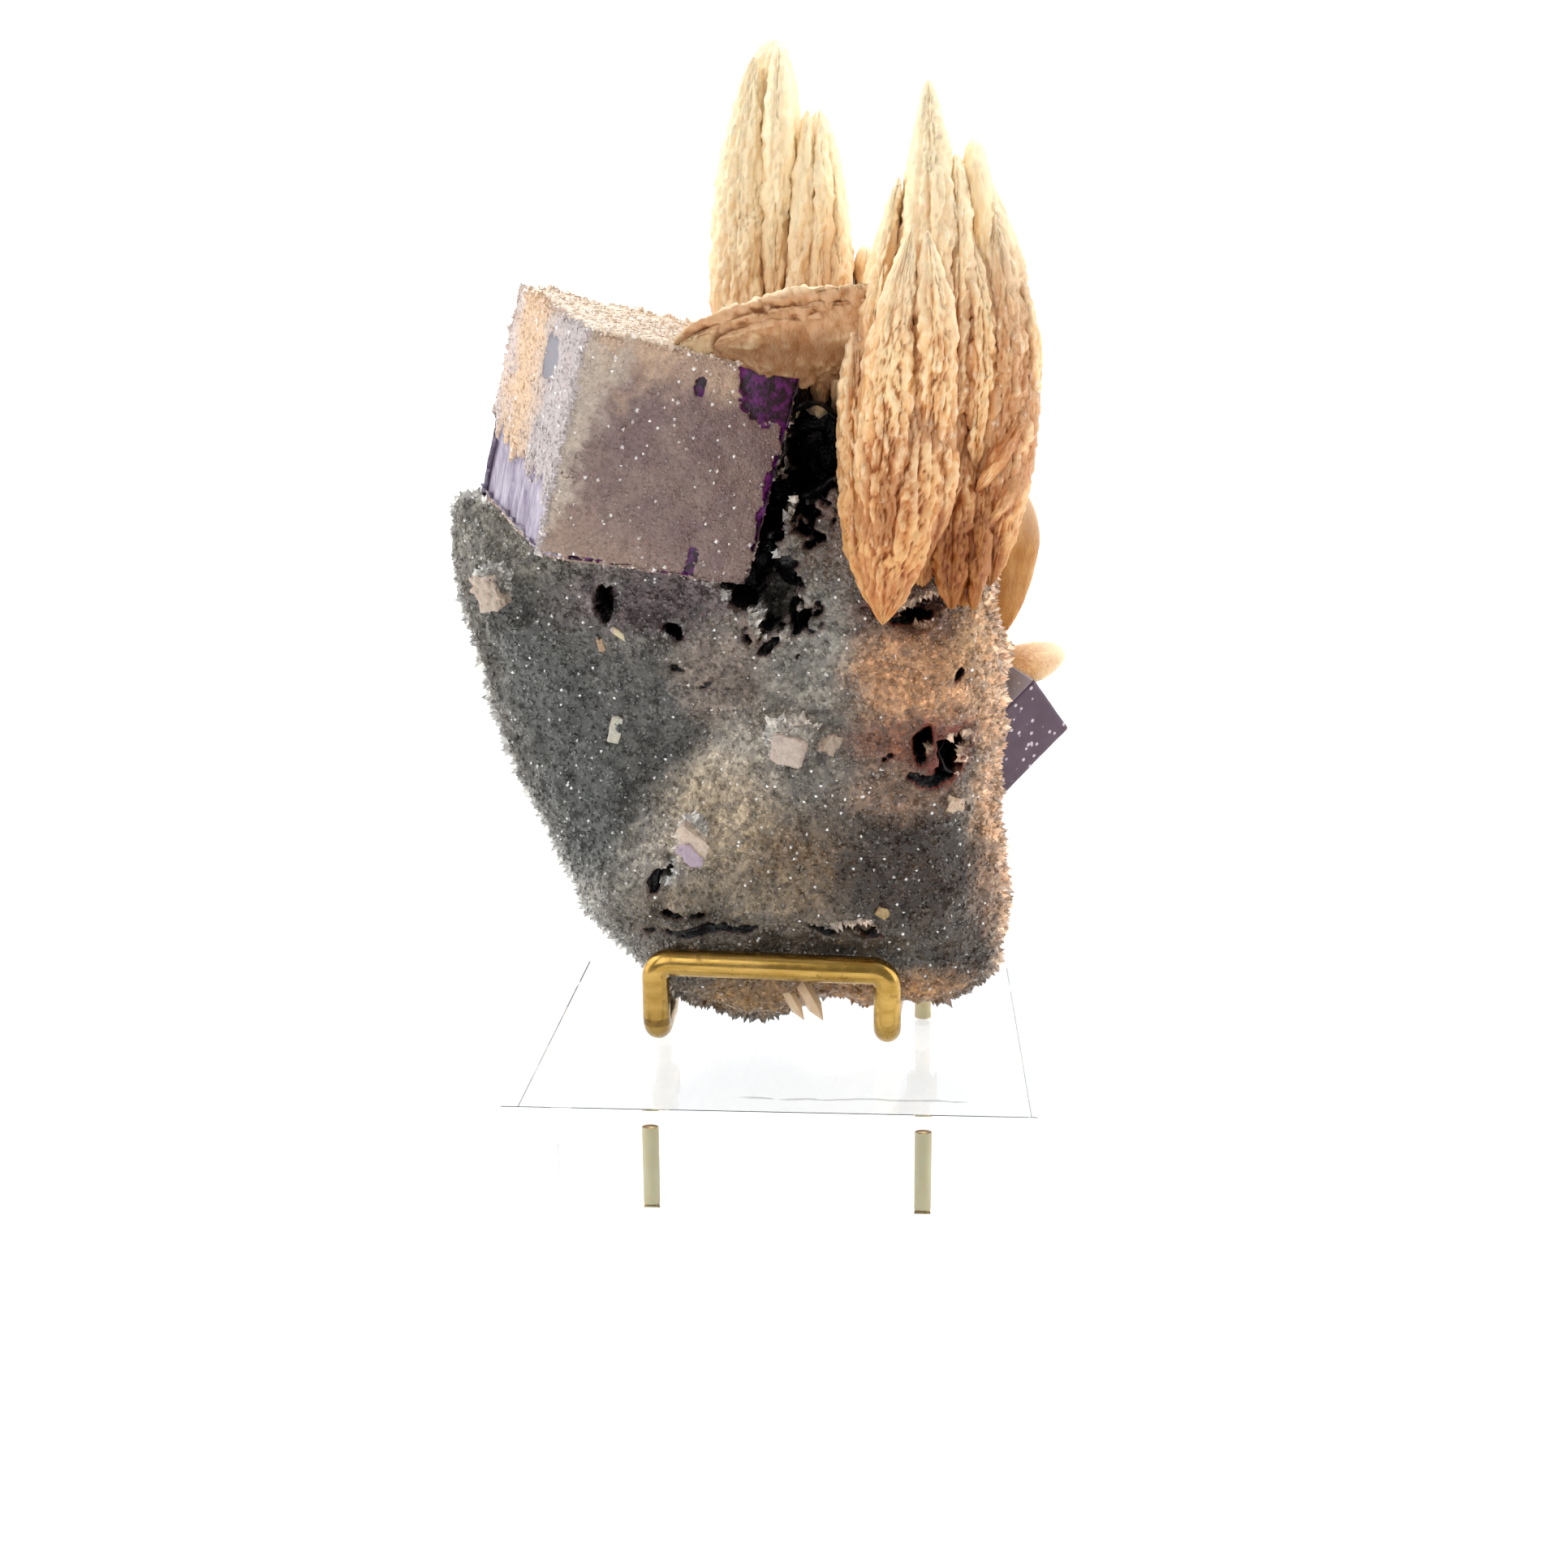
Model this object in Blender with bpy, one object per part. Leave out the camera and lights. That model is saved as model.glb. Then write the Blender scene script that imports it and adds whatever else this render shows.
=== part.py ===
"""Baryte on fluorite: a mineral specimen on a brass and acrylic stand.

A quartz coated matrix carries two fluorite cubes and four groups of baryte
blades. It stands in a bent brass cradle, in front of a brass back rest whose
two uprights stand in blind holes of a clear acrylic block.

The frame is +Z up, +X to the viewer's right and +Y away from the viewer.
The origin is the centre of the acrylic block's lower face.
Lengths below are millimetres until the vertices are made.
"""
import math

import bmesh
import bpy
from mathutils import Euler, Matrix, Vector, noise

MM = 0.001
GAP = 0.3

# Acrylic block
BASE_SIZE = (75.0, 60.0, 15.0)
BASE_EDGE = 0.35
HOLE_FLOOR = 1.5

# Brass back rest: one thin rod bent to an upturned U
UPRIGHT_RADIUS = 1.25
UPRIGHT_LEFT_X = -20.9
UPRIGHT_RIGHT_X = 22.3
UPRIGHT_Y = 17.5
REST_TOP = 58.0
REST_BEND = 7.0
ROD_SIDES = 12

# Brass cradle: one thick rod, with a collar round each upright
CRADLE_RADIUS = 2.0
CRADLE_Y = -16.0
CRADLE_LEFT_X = -17.0
CRADLE_RIGHT_X = 16.6
BAR_LEFT_Z = 31.8
BAR_RIGHT_Z = 30.8
ARM_Z = 21.3
ARM_BEND = 2.3
ARM_STRAIGHT = 8.0
LEFT_ARM_ELBOWS = ((-17.6, 0.0), (-19.4, 8.0))
RIGHT_ARM_ELBOWS = ((17.2, 0.0), (19.6, 8.0))
COLLAR_WALL = 1.2
COLLAR_RADIUS = 2.6
COLLAR_HEIGHT = 4.4
COLLAR_SIDES = 16
BORE_SIDES = 24

# Matrix outline in the X, Z plane, clockwise from the left lobe
MATRIX_OUTLINE = [
    (-47.4, 93.6), (-46.4, 96.4), (-43.6, 98.2), (-38.5, 98.6), (-29.0, 99.5), (-19.0, 104.0),
    (-11.0, 112.0), (-7.5, 118.5), (0.5, 122.0), (9.0, 121.5), (18.0, 117.5), (26.0, 108.0),
    (30.4, 97.0), (31.2, 88.0), (31.4, 81.5), (32.9, 75.5), (33.0, 66.0), (32.3, 56.0),
    (33.4, 46.0), (34.1, 36.5), (32.6, 29.0), (28.4, 24.0), (22.5, 22.8), (14.0, 22.7),
    (6.0, 22.6), (0.6, 20.6), (-4.6, 19.9), (-9.6, 21.1), (-14.0, 23.4), (-20.0, 28.2),
    (-26.0, 33.2), (-32.4, 43.0), (-37.2, 52.5), (-41.0, 62.0), (-44.2, 74.5), (-46.8, 86.0),
]
MATRIX_CENTRE = (-5.0, 68.0)
RIM_COUNT = 120
RING_SCALES = (1.0, 0.985, 0.96, 0.925, 0.88, 0.825, 0.76, 0.69, 0.62, 0.545, 0.47, 0.39, 0.31, 0.22, 0.12)
KEPT_SHARE = 0.30
RIM_ROUNDING = 9.5
BACK_DEPTH = 13.6

# Fluorite cubes: centre, edge lengths and turn
CUBE_CENTRE = (-19.2, -7.6, 106.1)
CUBE_EDGES = (31.7, 30.1, 30.5)
CUBE_TURN = (12.8, 11.0, 30.95)
EDGE_WEAR = 0.35
CRYSTAL_EDGE = 0.25
SIDE_CENTRE = (32.35, 6.08, 62.85)
SIDE_EDGES = (12.5, 14.4, 12.2)
SIDE_AXES = ((-0.531, 0.817, 0.223), (-0.694, -0.270, -0.667), (-0.485, -0.509, 0.711))


def clear_scene():
    for item in list(bpy.data.objects):
        bpy.data.objects.remove(item, do_unlink=True)


def make_material(name, colour, roughness, metallic=0.0, transmission=0.0, ior=1.5):
    material = bpy.data.materials.new(name)
    material.use_nodes = True
    shader = material.node_tree.nodes["Principled BSDF"]
    shader.inputs["Base Color"].default_value = (*colour, 1.0)
    shader.inputs["Roughness"].default_value = roughness
    shader.inputs["Metallic"].default_value = metallic
    shader.inputs["Transmission Weight"].default_value = transmission
    shader.inputs["IOR"].default_value = ior
    material.diffuse_color = (*colour, 1.0)
    return material


def make_object(name, mesh_builder, material=None):
    """Turn a bmesh in millimetres into an object in metres, faces out."""
    bmesh.ops.scale(mesh_builder, vec=(MM, MM, MM), verts=mesh_builder.verts)
    bmesh.ops.recalc_face_normals(mesh_builder, faces=mesh_builder.faces)
    mesh = bpy.data.meshes.new(name)
    mesh_builder.to_mesh(mesh)
    mesh_builder.free()
    item = bpy.data.objects.new(name, mesh)
    bpy.context.scene.collection.objects.link(item)
    if material is not None:
        mesh.materials.append(material)
    return item


def as_guide(item):
    """Keep an object as a cutter or an addition that isn't a piece itself."""
    item.hide_render = True
    item.display_type = "WIRE"
    return item


def combine(target, operand, operation, solver="EXACT"):
    step = target.modifiers.new(operation.lower() + "_" + operand.name, "BOOLEAN")
    step.operation = operation
    step.object = operand
    step.solver = solver


def smooth_step(low, high, value):
    share = min(max((value - low) / (high - low), 0.0), 1.0)
    return share * share * (3.0 - 2.0 * share)


def lumps(x, y, z, wavelength, seed=0.0):
    """Smooth noise from -1 to 1 whose lumps are about one wavelength wide."""
    place = Vector((x, y, z)) / wavelength
    return noise.noise(place + Vector((seed, seed * 1.7, seed * 0.3)))


def knobs(x, y, z, spacing):
    """Rounded knobs with creases between them, about one spacing apart."""
    distances = noise.voronoi(Vector((x, y, z)) / spacing)[0]
    return 0.45 - distances[0]


# Rods and the block

def rounded_path(corners, bend, steps=3):
    """Replace each inner corner of a path by an arc of the bend radius."""
    points = [Vector(corners[0])]
    for before, corner, after in zip(corners, corners[1:], corners[2:]):
        corner = Vector(corner)
        to_before = (Vector(before) - corner).normalized()
        to_after = (Vector(after) - corner).normalized()
        half_angle = to_before.angle(to_after) / 2.0
        setback = bend / math.tan(half_angle)
        centre = corner + (to_before + to_after).normalized() * (bend / math.sin(half_angle))
        start = corner + to_before * setback - centre
        finish = corner + to_after * setback - centre
        sweep = start.angle(finish)
        for index in range(steps + 1):
            share = index / steps
            blend = start * math.sin((1.0 - share) * sweep) + finish * math.sin(share * sweep)
            points.append(centre + blend / math.sin(sweep))
    points.append(Vector(corners[-1]))
    return points


def rod(points, radius, sides=ROD_SIDES):
    """Sweep a circle along a path, with flat ends."""
    bm = bmesh.new()
    tangents = []
    for index, point in enumerate(points):
        ahead = points[min(index + 1, len(points) - 1)] - point
        behind = point - points[max(index - 1, 0)]
        tangents.append((ahead.normalized() + behind.normalized()).normalized())
    side = tangents[0].orthogonal().normalized()
    rings = []
    for point, tangent in zip(points, tangents):
        side = (side - tangent * side.dot(tangent)).normalized()
        other = tangent.cross(side)
        ring = []
        for index in range(sides):
            angle = 2.0 * math.pi * index / sides
            offset = side * math.cos(angle) + other * math.sin(angle)
            ring.append(bm.verts.new(point + offset * radius))
        rings.append(ring)
    for first, second in zip(rings, rings[1:]):
        for index in range(sides):
            after = (index + 1) % sides
            bm.faces.new((first[index], first[after], second[after], second[index]))
    bm.faces.new(rings[0])
    bm.faces.new(rings[-1])
    return bm


def cylinder(centre, radius, height, sides):
    bm = bmesh.new()
    bmesh.ops.create_cone(bm, cap_ends=True, segments=sides, radius1=radius, radius2=radius,
                          depth=height, matrix=Matrix.Translation(centre))
    return bm


def cradle_points():
    """From the left collar round the front of the specimen to the right collar."""
    arm_back = CRADLE_Y + ARM_STRAIGHT
    collar_y = UPRIGHT_Y - UPRIGHT_RADIUS - COLLAR_WALL
    front = rounded_path([
        (CRADLE_LEFT_X, arm_back, ARM_Z), (CRADLE_LEFT_X, CRADLE_Y, ARM_Z),
        (CRADLE_LEFT_X, CRADLE_Y, BAR_LEFT_Z), (CRADLE_RIGHT_X, CRADLE_Y, BAR_RIGHT_Z),
        (CRADLE_RIGHT_X, CRADLE_Y, ARM_Z), (CRADLE_RIGHT_X, arm_back, ARM_Z),
    ], ARM_BEND)
    left_arm = [Vector((x, y, ARM_Z)) for x, y in (*LEFT_ARM_ELBOWS, (UPRIGHT_LEFT_X, collar_y))]
    right_arm = [Vector((x, y, ARM_Z)) for x, y in (*RIGHT_ARM_ELBOWS, (UPRIGHT_RIGHT_X, collar_y))]
    return left_arm[::-1] + front + right_arm


def make_cradle(brass):
    cradle = make_object("brass_cradle", rod(cradle_points(), CRADLE_RADIUS), brass)
    for side, upright_x in (("left", UPRIGHT_LEFT_X), ("right", UPRIGHT_RIGHT_X)):
        centre = Vector((upright_x, UPRIGHT_Y, ARM_Z))
        collar = cylinder(centre, COLLAR_RADIUS, COLLAR_HEIGHT, COLLAR_SIDES)
        combine(cradle, as_guide(make_object("collar_" + side, collar)), "UNION")
    for side, upright_x in (("left", UPRIGHT_LEFT_X), ("right", UPRIGHT_RIGHT_X)):
        centre = Vector((upright_x, UPRIGHT_Y, ARM_Z))
        bore = cylinder(centre, UPRIGHT_RADIUS + GAP, COLLAR_HEIGHT * 2.0, COLLAR_SIDES)
        combine(cradle, as_guide(make_object("collar_bore_" + side, bore)), "DIFFERENCE")
    return cradle


def back_rest_points():
    foot = HOLE_FLOOR + GAP
    return rounded_path([
        (UPRIGHT_LEFT_X, UPRIGHT_Y, foot), (UPRIGHT_LEFT_X, UPRIGHT_Y, REST_TOP),
        (UPRIGHT_RIGHT_X, UPRIGHT_Y, REST_TOP), (UPRIGHT_RIGHT_X, UPRIGHT_Y, foot),
    ], REST_BEND)


def make_base(acrylic):
    bm = bmesh.new()
    bmesh.ops.create_cube(bm, size=1.0)
    bmesh.ops.scale(bm, vec=BASE_SIZE, verts=bm.verts)
    bmesh.ops.translate(bm, vec=(0.0, 0.0, BASE_SIZE[2] / 2.0), verts=bm.verts)
    bmesh.ops.bevel(bm, geom=bm.edges, offset=BASE_EDGE, segments=1, affect="EDGES")
    base = make_object("acrylic_base", bm, acrylic)
    for side, upright_x in (("left", UPRIGHT_LEFT_X), ("right", UPRIGHT_RIGHT_X)):
        middle = Vector((upright_x, UPRIGHT_Y, HOLE_FLOOR + BASE_SIZE[2] / 2.0))
        bore = cylinder(middle, UPRIGHT_RADIUS + GAP, BASE_SIZE[2], BORE_SIDES)
        combine(base, as_guide(make_object("base_bore_" + side, bore)), "DIFFERENCE")
    return base


# Quartz coated matrix

def closed_curve(corners, count):
    """Evenly spaced points on a smooth closed curve through the corners."""
    dense = []
    total = len(corners)
    for index in range(total):
        p0, p1, p2, p3 = (Vector(corners[(index + shift) % total]) for shift in (-1, 0, 1, 2))
        for step in range(12):
            t = step / 12.0
            dense.append(0.5 * (2.0 * p1 + (p2 - p0) * t + (2.0 * p0 - 5.0 * p1 + 4.0 * p2 - p3) * t * t
                                + (3.0 * p1 - p0 - 3.0 * p2 + p3) * t ** 3))
    lengths = [0.0]
    for first, second in zip(dense, dense[1:] + dense[:1]):
        lengths.append(lengths[-1] + (second - first).length)
    dense.append(dense[0])
    points = []
    place = 0
    for index in range(count):
        target = lengths[-1] * index / count
        while lengths[place + 1] < target:
            place += 1
        share = (target - lengths[place]) / (lengths[place + 1] - lengths[place])
        points.append(dense[place].lerp(dense[place + 1], share))
    return points


def rim_distance(point, rim):
    nearest = 1e9
    for first, second in zip(rim, rim[1:] + rim[:1]):
        run = second - first
        share = min(max((point - first).dot(run) / run.length_squared, 0.0), 1.0)
        nearest = min(nearest, (point - first - run * share).length)
    return nearest


def front_face(x, z):
    """Y of the matrix's front: a belly with a ledge under it, and a left slope."""
    below_belly_line = ((x + 35.0) * 34.0 - (z - 38.0) * 50.0) / 60.5
    y = -12.3 - 3.9 * smooth_step(-5.0, 6.5, below_belly_line)
    under_ledge = (39.0 - 0.10 * (x + 14.0)) - z
    y += 2.5 * smooth_step(-0.6, 1.4, under_ledge)
    y += 0.34 * max(0.0, -23.0 - x)
    y += 0.30 * max(0.0, x - 21.0)
    y += 5.2 * smooth_step(86.0, 99.0, z) * smooth_step(0.0, 9.0, x)
    y += 2.6 * smooth_step(-4.0, -10.0, x) * smooth_step(72.0, 62.0, z) * smooth_step(38.0, 55.0, z)
    return y


def back_face(x, z):
    """Y of the matrix's back, in broad blocky steps."""
    y = BACK_DEPTH
    y -= 0.30 * max(0.0, -26.0 - x)
    y += 1.7 * smooth_step(REST_TOP - 3.0, REST_TOP - 0.5, z) * smooth_step(REST_TOP + 6.0, REST_TOP + 2.0, z)
    y -= 2.6 * smooth_step(70.0, 76.0, z + 0.25 * x)
    y += 2.2 * smooth_step(92.0, 97.0, z - 0.3 * x)
    y -= 2.4 * smooth_step(10.0, 13.5, x + 0.2 * (z - 60.0)) * smooth_step(60.0, 66.0, z)
    return y


def middle_face(z):
    return -2.0 - 4.5 * smooth_step(46.0, 22.0, z) + 6.0 * smooth_step(92.0, 116.0, z)


def matrix_shape():
    """The matrix as rings from its rim to its middle, on the front and the back."""
    rim = closed_curve(MATRIX_OUTLINE, RIM_COUNT)
    centre = Vector(MATRIX_CENTRE)
    bm = bmesh.new()
    rings = {"front": [], "back": []}
    for scale in RING_SCALES:
        for face in rings:
            if scale == 1.0 and face == "back":
                rings[face].append(rings["front"][0])
                continue
            ring = []
            for point in rim:
                place = centre.lerp(point, scale)
                ring.append(bm.verts.new(matrix_point(place, rim, face)))
            rings[face].append(ring)
    for face in rings:
        middle = bm.verts.new(matrix_point(centre, rim, face))
        for outer, inner in zip(rings[face], rings[face][1:]):
            for index in range(RIM_COUNT):
                after = (index + 1) % RIM_COUNT
                bm.faces.new((outer[index], outer[after], inner[after], inner[index]))
        last = rings[face][-1]
        for index in range(RIM_COUNT):
            bm.faces.new((last[index], last[(index + 1) % RIM_COUNT], middle))
    return bm


def matrix_body(name, material=None, grow=0.0):
    """The matrix with its even rings thinned to facets, and swollen where asked."""
    body = make_object(name, matrix_shape(), material)
    thinning = body.modifiers.new("thinning", "DECIMATE")
    thinning.ratio = KEPT_SHARE
    if grow:
        swelling = body.modifiers.new("swelling", "DISPLACE")
        swelling.mid_level = 0.0
        swelling.strength = grow * MM
    return body


def matrix_point(place, rim, face):
    """Round the rim off, and lay lumps of two sizes on the whole surface."""
    x, z = place
    inward = min(rim_distance(place, rim) / RIM_ROUNDING, 1.0)
    fullness = math.sqrt(1.0 - (1.0 - inward) ** 2)
    outer = front_face(x, z) if face == "front" else back_face(x, z)
    middle = middle_face(z)
    away = -1.0 if face == "front" else 1.0
    depth = away * 8.0
    relief = 1.2 * lumps(x, depth, z, 13.0) + 0.9 * lumps(x, depth, z, 5.0, 3.0)
    relief += 1.9 * knobs(x, depth, z, 8.0 if face == "front" else 11.0)
    y = middle + (outer - middle) * fullness + away * relief * fullness
    return Vector((x, y, z))


def block(centre, edges, turn, soften=0.0):
    """A box of the given edge lengths; turn is an Euler angle in degrees or a matrix."""
    bm = bmesh.new()
    bmesh.ops.create_cube(bm, size=1.0)
    bmesh.ops.scale(bm, vec=edges, verts=bm.verts)
    if soften:
        bmesh.ops.bevel(bm, geom=bm.edges, offset=soften, segments=1, affect="EDGES")
    if not isinstance(turn, Matrix):
        turn = Euler([math.radians(angle) for angle in turn]).to_matrix()
    bmesh.ops.rotate(bm, cent=(0.0, 0.0, 0.0), matrix=turn, verts=bm.verts)
    bmesh.ops.translate(bm, vec=centre, verts=bm.verts)
    return bm


def hollow(centre, radii, turn, seed):
    """A ragged pit shape: a stretched ball with lumps."""
    bm = bmesh.new()
    bmesh.ops.create_icosphere(bm, subdivisions=2, radius=1.0)
    turn = Matrix.Rotation(math.radians(turn), 3, "Y")
    for vert in bm.verts:
        swell = 1.0 + 0.55 * lumps(*vert.co, 0.75, seed)
        vert.co = turn @ Vector([axis * radius * swell for axis, radius in zip(vert.co, radii)])
        vert.co += Vector(centre)
    return bm


COATED_EDGE = 0.45

# Small quartz coated cubes and crystals on the matrix: name, centre, edges, turn
COATED_CUBES = [
    ("front_cube", (3.1, -14.9, 64.6), (5.4, 5.4, 5.4), (14.0, -8.0, 24.0)),
    ("front_cube_small", (8.1, -14.9, 64.5), (3.2, 3.2, 3.2), (8.0, 20.0, 38.0)),
    ("front_cube_low", (-10.6, -14.9, 49.6), (5.2, 4.2, 3.6), (20.0, 34.0, 12.0)),
    ("front_cube_right", (25.8, -13.3, 55.6), (2.4, 2.4, 2.4), (30.0, 10.0, 20.0)),
    ("front_cube_left", (-39.8, -8.0, 84.8), (5.0, 4.0, 4.4), (10.0, -34.0, -18.0)),
    ("back_cube_high", (-16.0, 12.0, 84.0), (11.0, 9.0, 11.0), (24.0, 12.0, 38.0)),
    ("back_cube_low", (-29.5, 9.0, 46.0), (7.0, 6.0, 7.0), (16.0, 28.0, -20.0)),
    ("back_cube_side", (24.0, 10.0, 71.0), (8.0, 7.0, 8.0), (12.0, -22.0, 30.0)),
    ("top_cube", (18.0, 10.0, 108.0), (9.0, 9.0, 9.0), (28.0, 20.0, 15.0)),
]

# Pits in the matrix: name, centre, radii, turn about Y, seed
PITS = [
    ("pit_middle", (0.8, -11.5, 82.8), (3.9, 9.0, 5.2), -24.0, 1.0),
    ("pit_middle_left", (-3.2, -11.5, 84.4), (3.8, 7.5, 2.9), 12.0, 2.0),
    ("pit_middle_high", (-2.0, -11.5, 88.8), (3.0, 7.0, 3.8), 18.0, 9.0),
    ("pit_top", (5.2, -5.0, 104.0), (4.6, 10.5, 7.2), 8.0, 4.0),
    ("pit_neck", (-0.2, -10.0, 96.4), (3.6, 8.0, 4.0), 24.0, 5.0),
    ("pit_small_left", (-22.9, -12.0, 84.0), (1.7, 4.5, 2.5), 6.0, 6.0),
    ("pit_small_mid", (-13.8, -12.3, 79.1), (2.1, 4.5, 1.7), -20.0, 7.0),
    ("pit_right", (25.6, -11.5, 62.2), (1.8, 5.5, 3.2), 16.0, 8.0),
    ("pit_right_small", (21.4, -13.0, 63.5), (1.4, 5.0, 2.2), 20.0, 10.0),
    ("pit_under_blades", (20.6, -11.5, 82.6), (4.6, 5.0, 2.5), -10.0, 11.0),
    ("pit_low_left", (-14.6, -13.2, 45.0), (1.8, 4.0, 2.4), 10.0, 12.0),
    ("pit_ledge", (11.5, -14.6, 37.0), (5.0, 2.6, 1.2), 6.0, 15.0),
]


def make_matrix(stone, cube_guide, side_guide):
    matrix = matrix_body("quartz_matrix", stone)
    for name, centre, edges, turn in COATED_CUBES:
        crystal = block(centre, edges, turn, COATED_EDGE)
        combine(matrix, as_guide(make_object(name, crystal)), "UNION")
    for name, centre, radii, turn, seed in PITS:
        pit = hollow(centre, radii, turn, seed)
        combine(matrix, as_guide(make_object(name, pit)), "DIFFERENCE")
    groove = rod(cradle_points(), CRADLE_RADIUS + GAP)
    groove = as_guide(make_object("cradle_clearance", groove))
    rest_groove = rod(back_rest_points(), UPRIGHT_RADIUS + GAP)
    rest_groove = as_guide(make_object("rest_clearance", rest_groove))
    for guide in (cube_guide, side_guide, groove, rest_groove):
        combine(matrix, guide, "DIFFERENCE")
    return matrix


# Fluorite cubes

def side_turn():
    return Matrix(SIDE_AXES).transposed()


def make_cubes(fluorite):
    """Both cubes, and a swollen copy of each that keeps the neighbours clear of it."""
    make_object("fluorite_cube_large", stepped_cube(), fluorite)
    grown = [side + 2.0 * GAP for side in CUBE_EDGES]
    large_guide = make_object("large_cube_clearance", block(CUBE_CENTRE, grown, CUBE_TURN))
    small = block(SIDE_CENTRE, SIDE_EDGES, side_turn(), CRYSTAL_EDGE)
    make_object("fluorite_cube_small", small, fluorite)
    grown = [side + 2.0 * GAP for side in SIDE_EDGES]
    small_guide = make_object("small_cube_clearance", block(SIDE_CENTRE, grown, side_turn()))
    return as_guide(large_guide), as_guide(small_guide)


def stepped_cube():
    """The large cube, whose faces are gently uneven and whose edges are worn."""
    bm = bmesh.new()
    bmesh.ops.create_cube(bm, size=1.0)
    bmesh.ops.scale(bm, vec=CUBE_EDGES, verts=bm.verts)
    bmesh.ops.subdivide_edges(bm, edges=bm.edges, cuts=4, use_grid_fill=True)
    for vert in bm.verts:
        inset = 0.10 + 0.35 * (0.5 + 0.5 * lumps(*vert.co, 9.0, 5.0))
        outer = [abs(abs(axis) - edge / 2.0) < 0.01 for axis, edge in zip(vert.co, CUBE_EDGES)]
        wear = EDGE_WEAR if sum(outer) > 1 else 0.0
        for axis in range(3):
            if outer[axis]:
                vert.co[axis] -= math.copysign(inset + wear, vert.co[axis])
    turn = Euler([math.radians(angle) for angle in CUBE_TURN]).to_matrix()
    bmesh.ops.rotate(bm, cent=(0.0, 0.0, 0.0), matrix=turn, verts=bm.verts)
    bmesh.ops.translate(bm, vec=CUBE_CENTRE, verts=bm.verts)
    return bm


# Baryte blades

# A blade runs from its foot to its tip. Its thin way is along "thin", its
# broad way is square to that, and "bow" pushes its middle sideways.
BLADE_RINGS = 9
BLADE_SIDES = 12


def blade(foot, tip, thin, half_thin, half_broad, bow=(0.0, 0.0, 0.0), fullest=0.45, blunt=0.75,
          ridge=0.10, seed=0.0, grow=0.0):
    """A pointed lens with ridges that run along it."""
    foot = Vector(foot)
    tip = Vector(tip)
    along = (tip - foot).normalized()
    thin = Vector(thin)
    thin = (thin - along * thin.dot(along)).normalized()
    broad = along.cross(thin)
    bm = bmesh.new()
    rings = []
    for row in range(1, BLADE_RINGS + 1):
        share = row / (BLADE_RINGS + 1)
        warped = share ** (math.log(0.5) / math.log(fullest))
        swell = (4.0 * warped * (1.0 - warped)) ** blunt
        centre = foot.lerp(tip, share) + Vector(bow) * (1.0 - (2.0 * share - 1.0) ** 2)
        ring = []
        for index in range(BLADE_SIDES):
            angle = 2.0 * math.pi * index / BLADE_SIDES
            edgewise = 0.35 + 0.65 * abs(math.sin(angle))
            rib = 1.0 + ridge * edgewise * (1.0 if index % 2 else -1.0)
            rib += ridge * 1.4 * lumps(math.cos(angle), math.sin(angle), share * 4.0, 0.8, seed)
            reach_thin = half_thin * swell * rib * math.cos(angle)
            reach_broad = half_broad * swell * rib * math.sin(angle)
            out = thin * reach_thin + broad * reach_broad
            ring.append(bm.verts.new(centre + out + out.normalized() * grow))
        rings.append(ring)
    low = bm.verts.new(foot - along * grow)
    high = bm.verts.new(tip + along * grow)
    for first, second in zip(rings, rings[1:]):
        for index in range(BLADE_SIDES):
            after = (index + 1) % BLADE_SIDES
            bm.faces.new((first[index], first[after], second[after], second[index]))
    for index in range(BLADE_SIDES):
        after = (index + 1) % BLADE_SIDES
        bm.faces.new((rings[0][index], rings[0][after], low))
        bm.faces.new((rings[-1][index], rings[-1][after], high))
    return bm


SIDEWAYS = (1.0, 0.0, 0.0)

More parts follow.
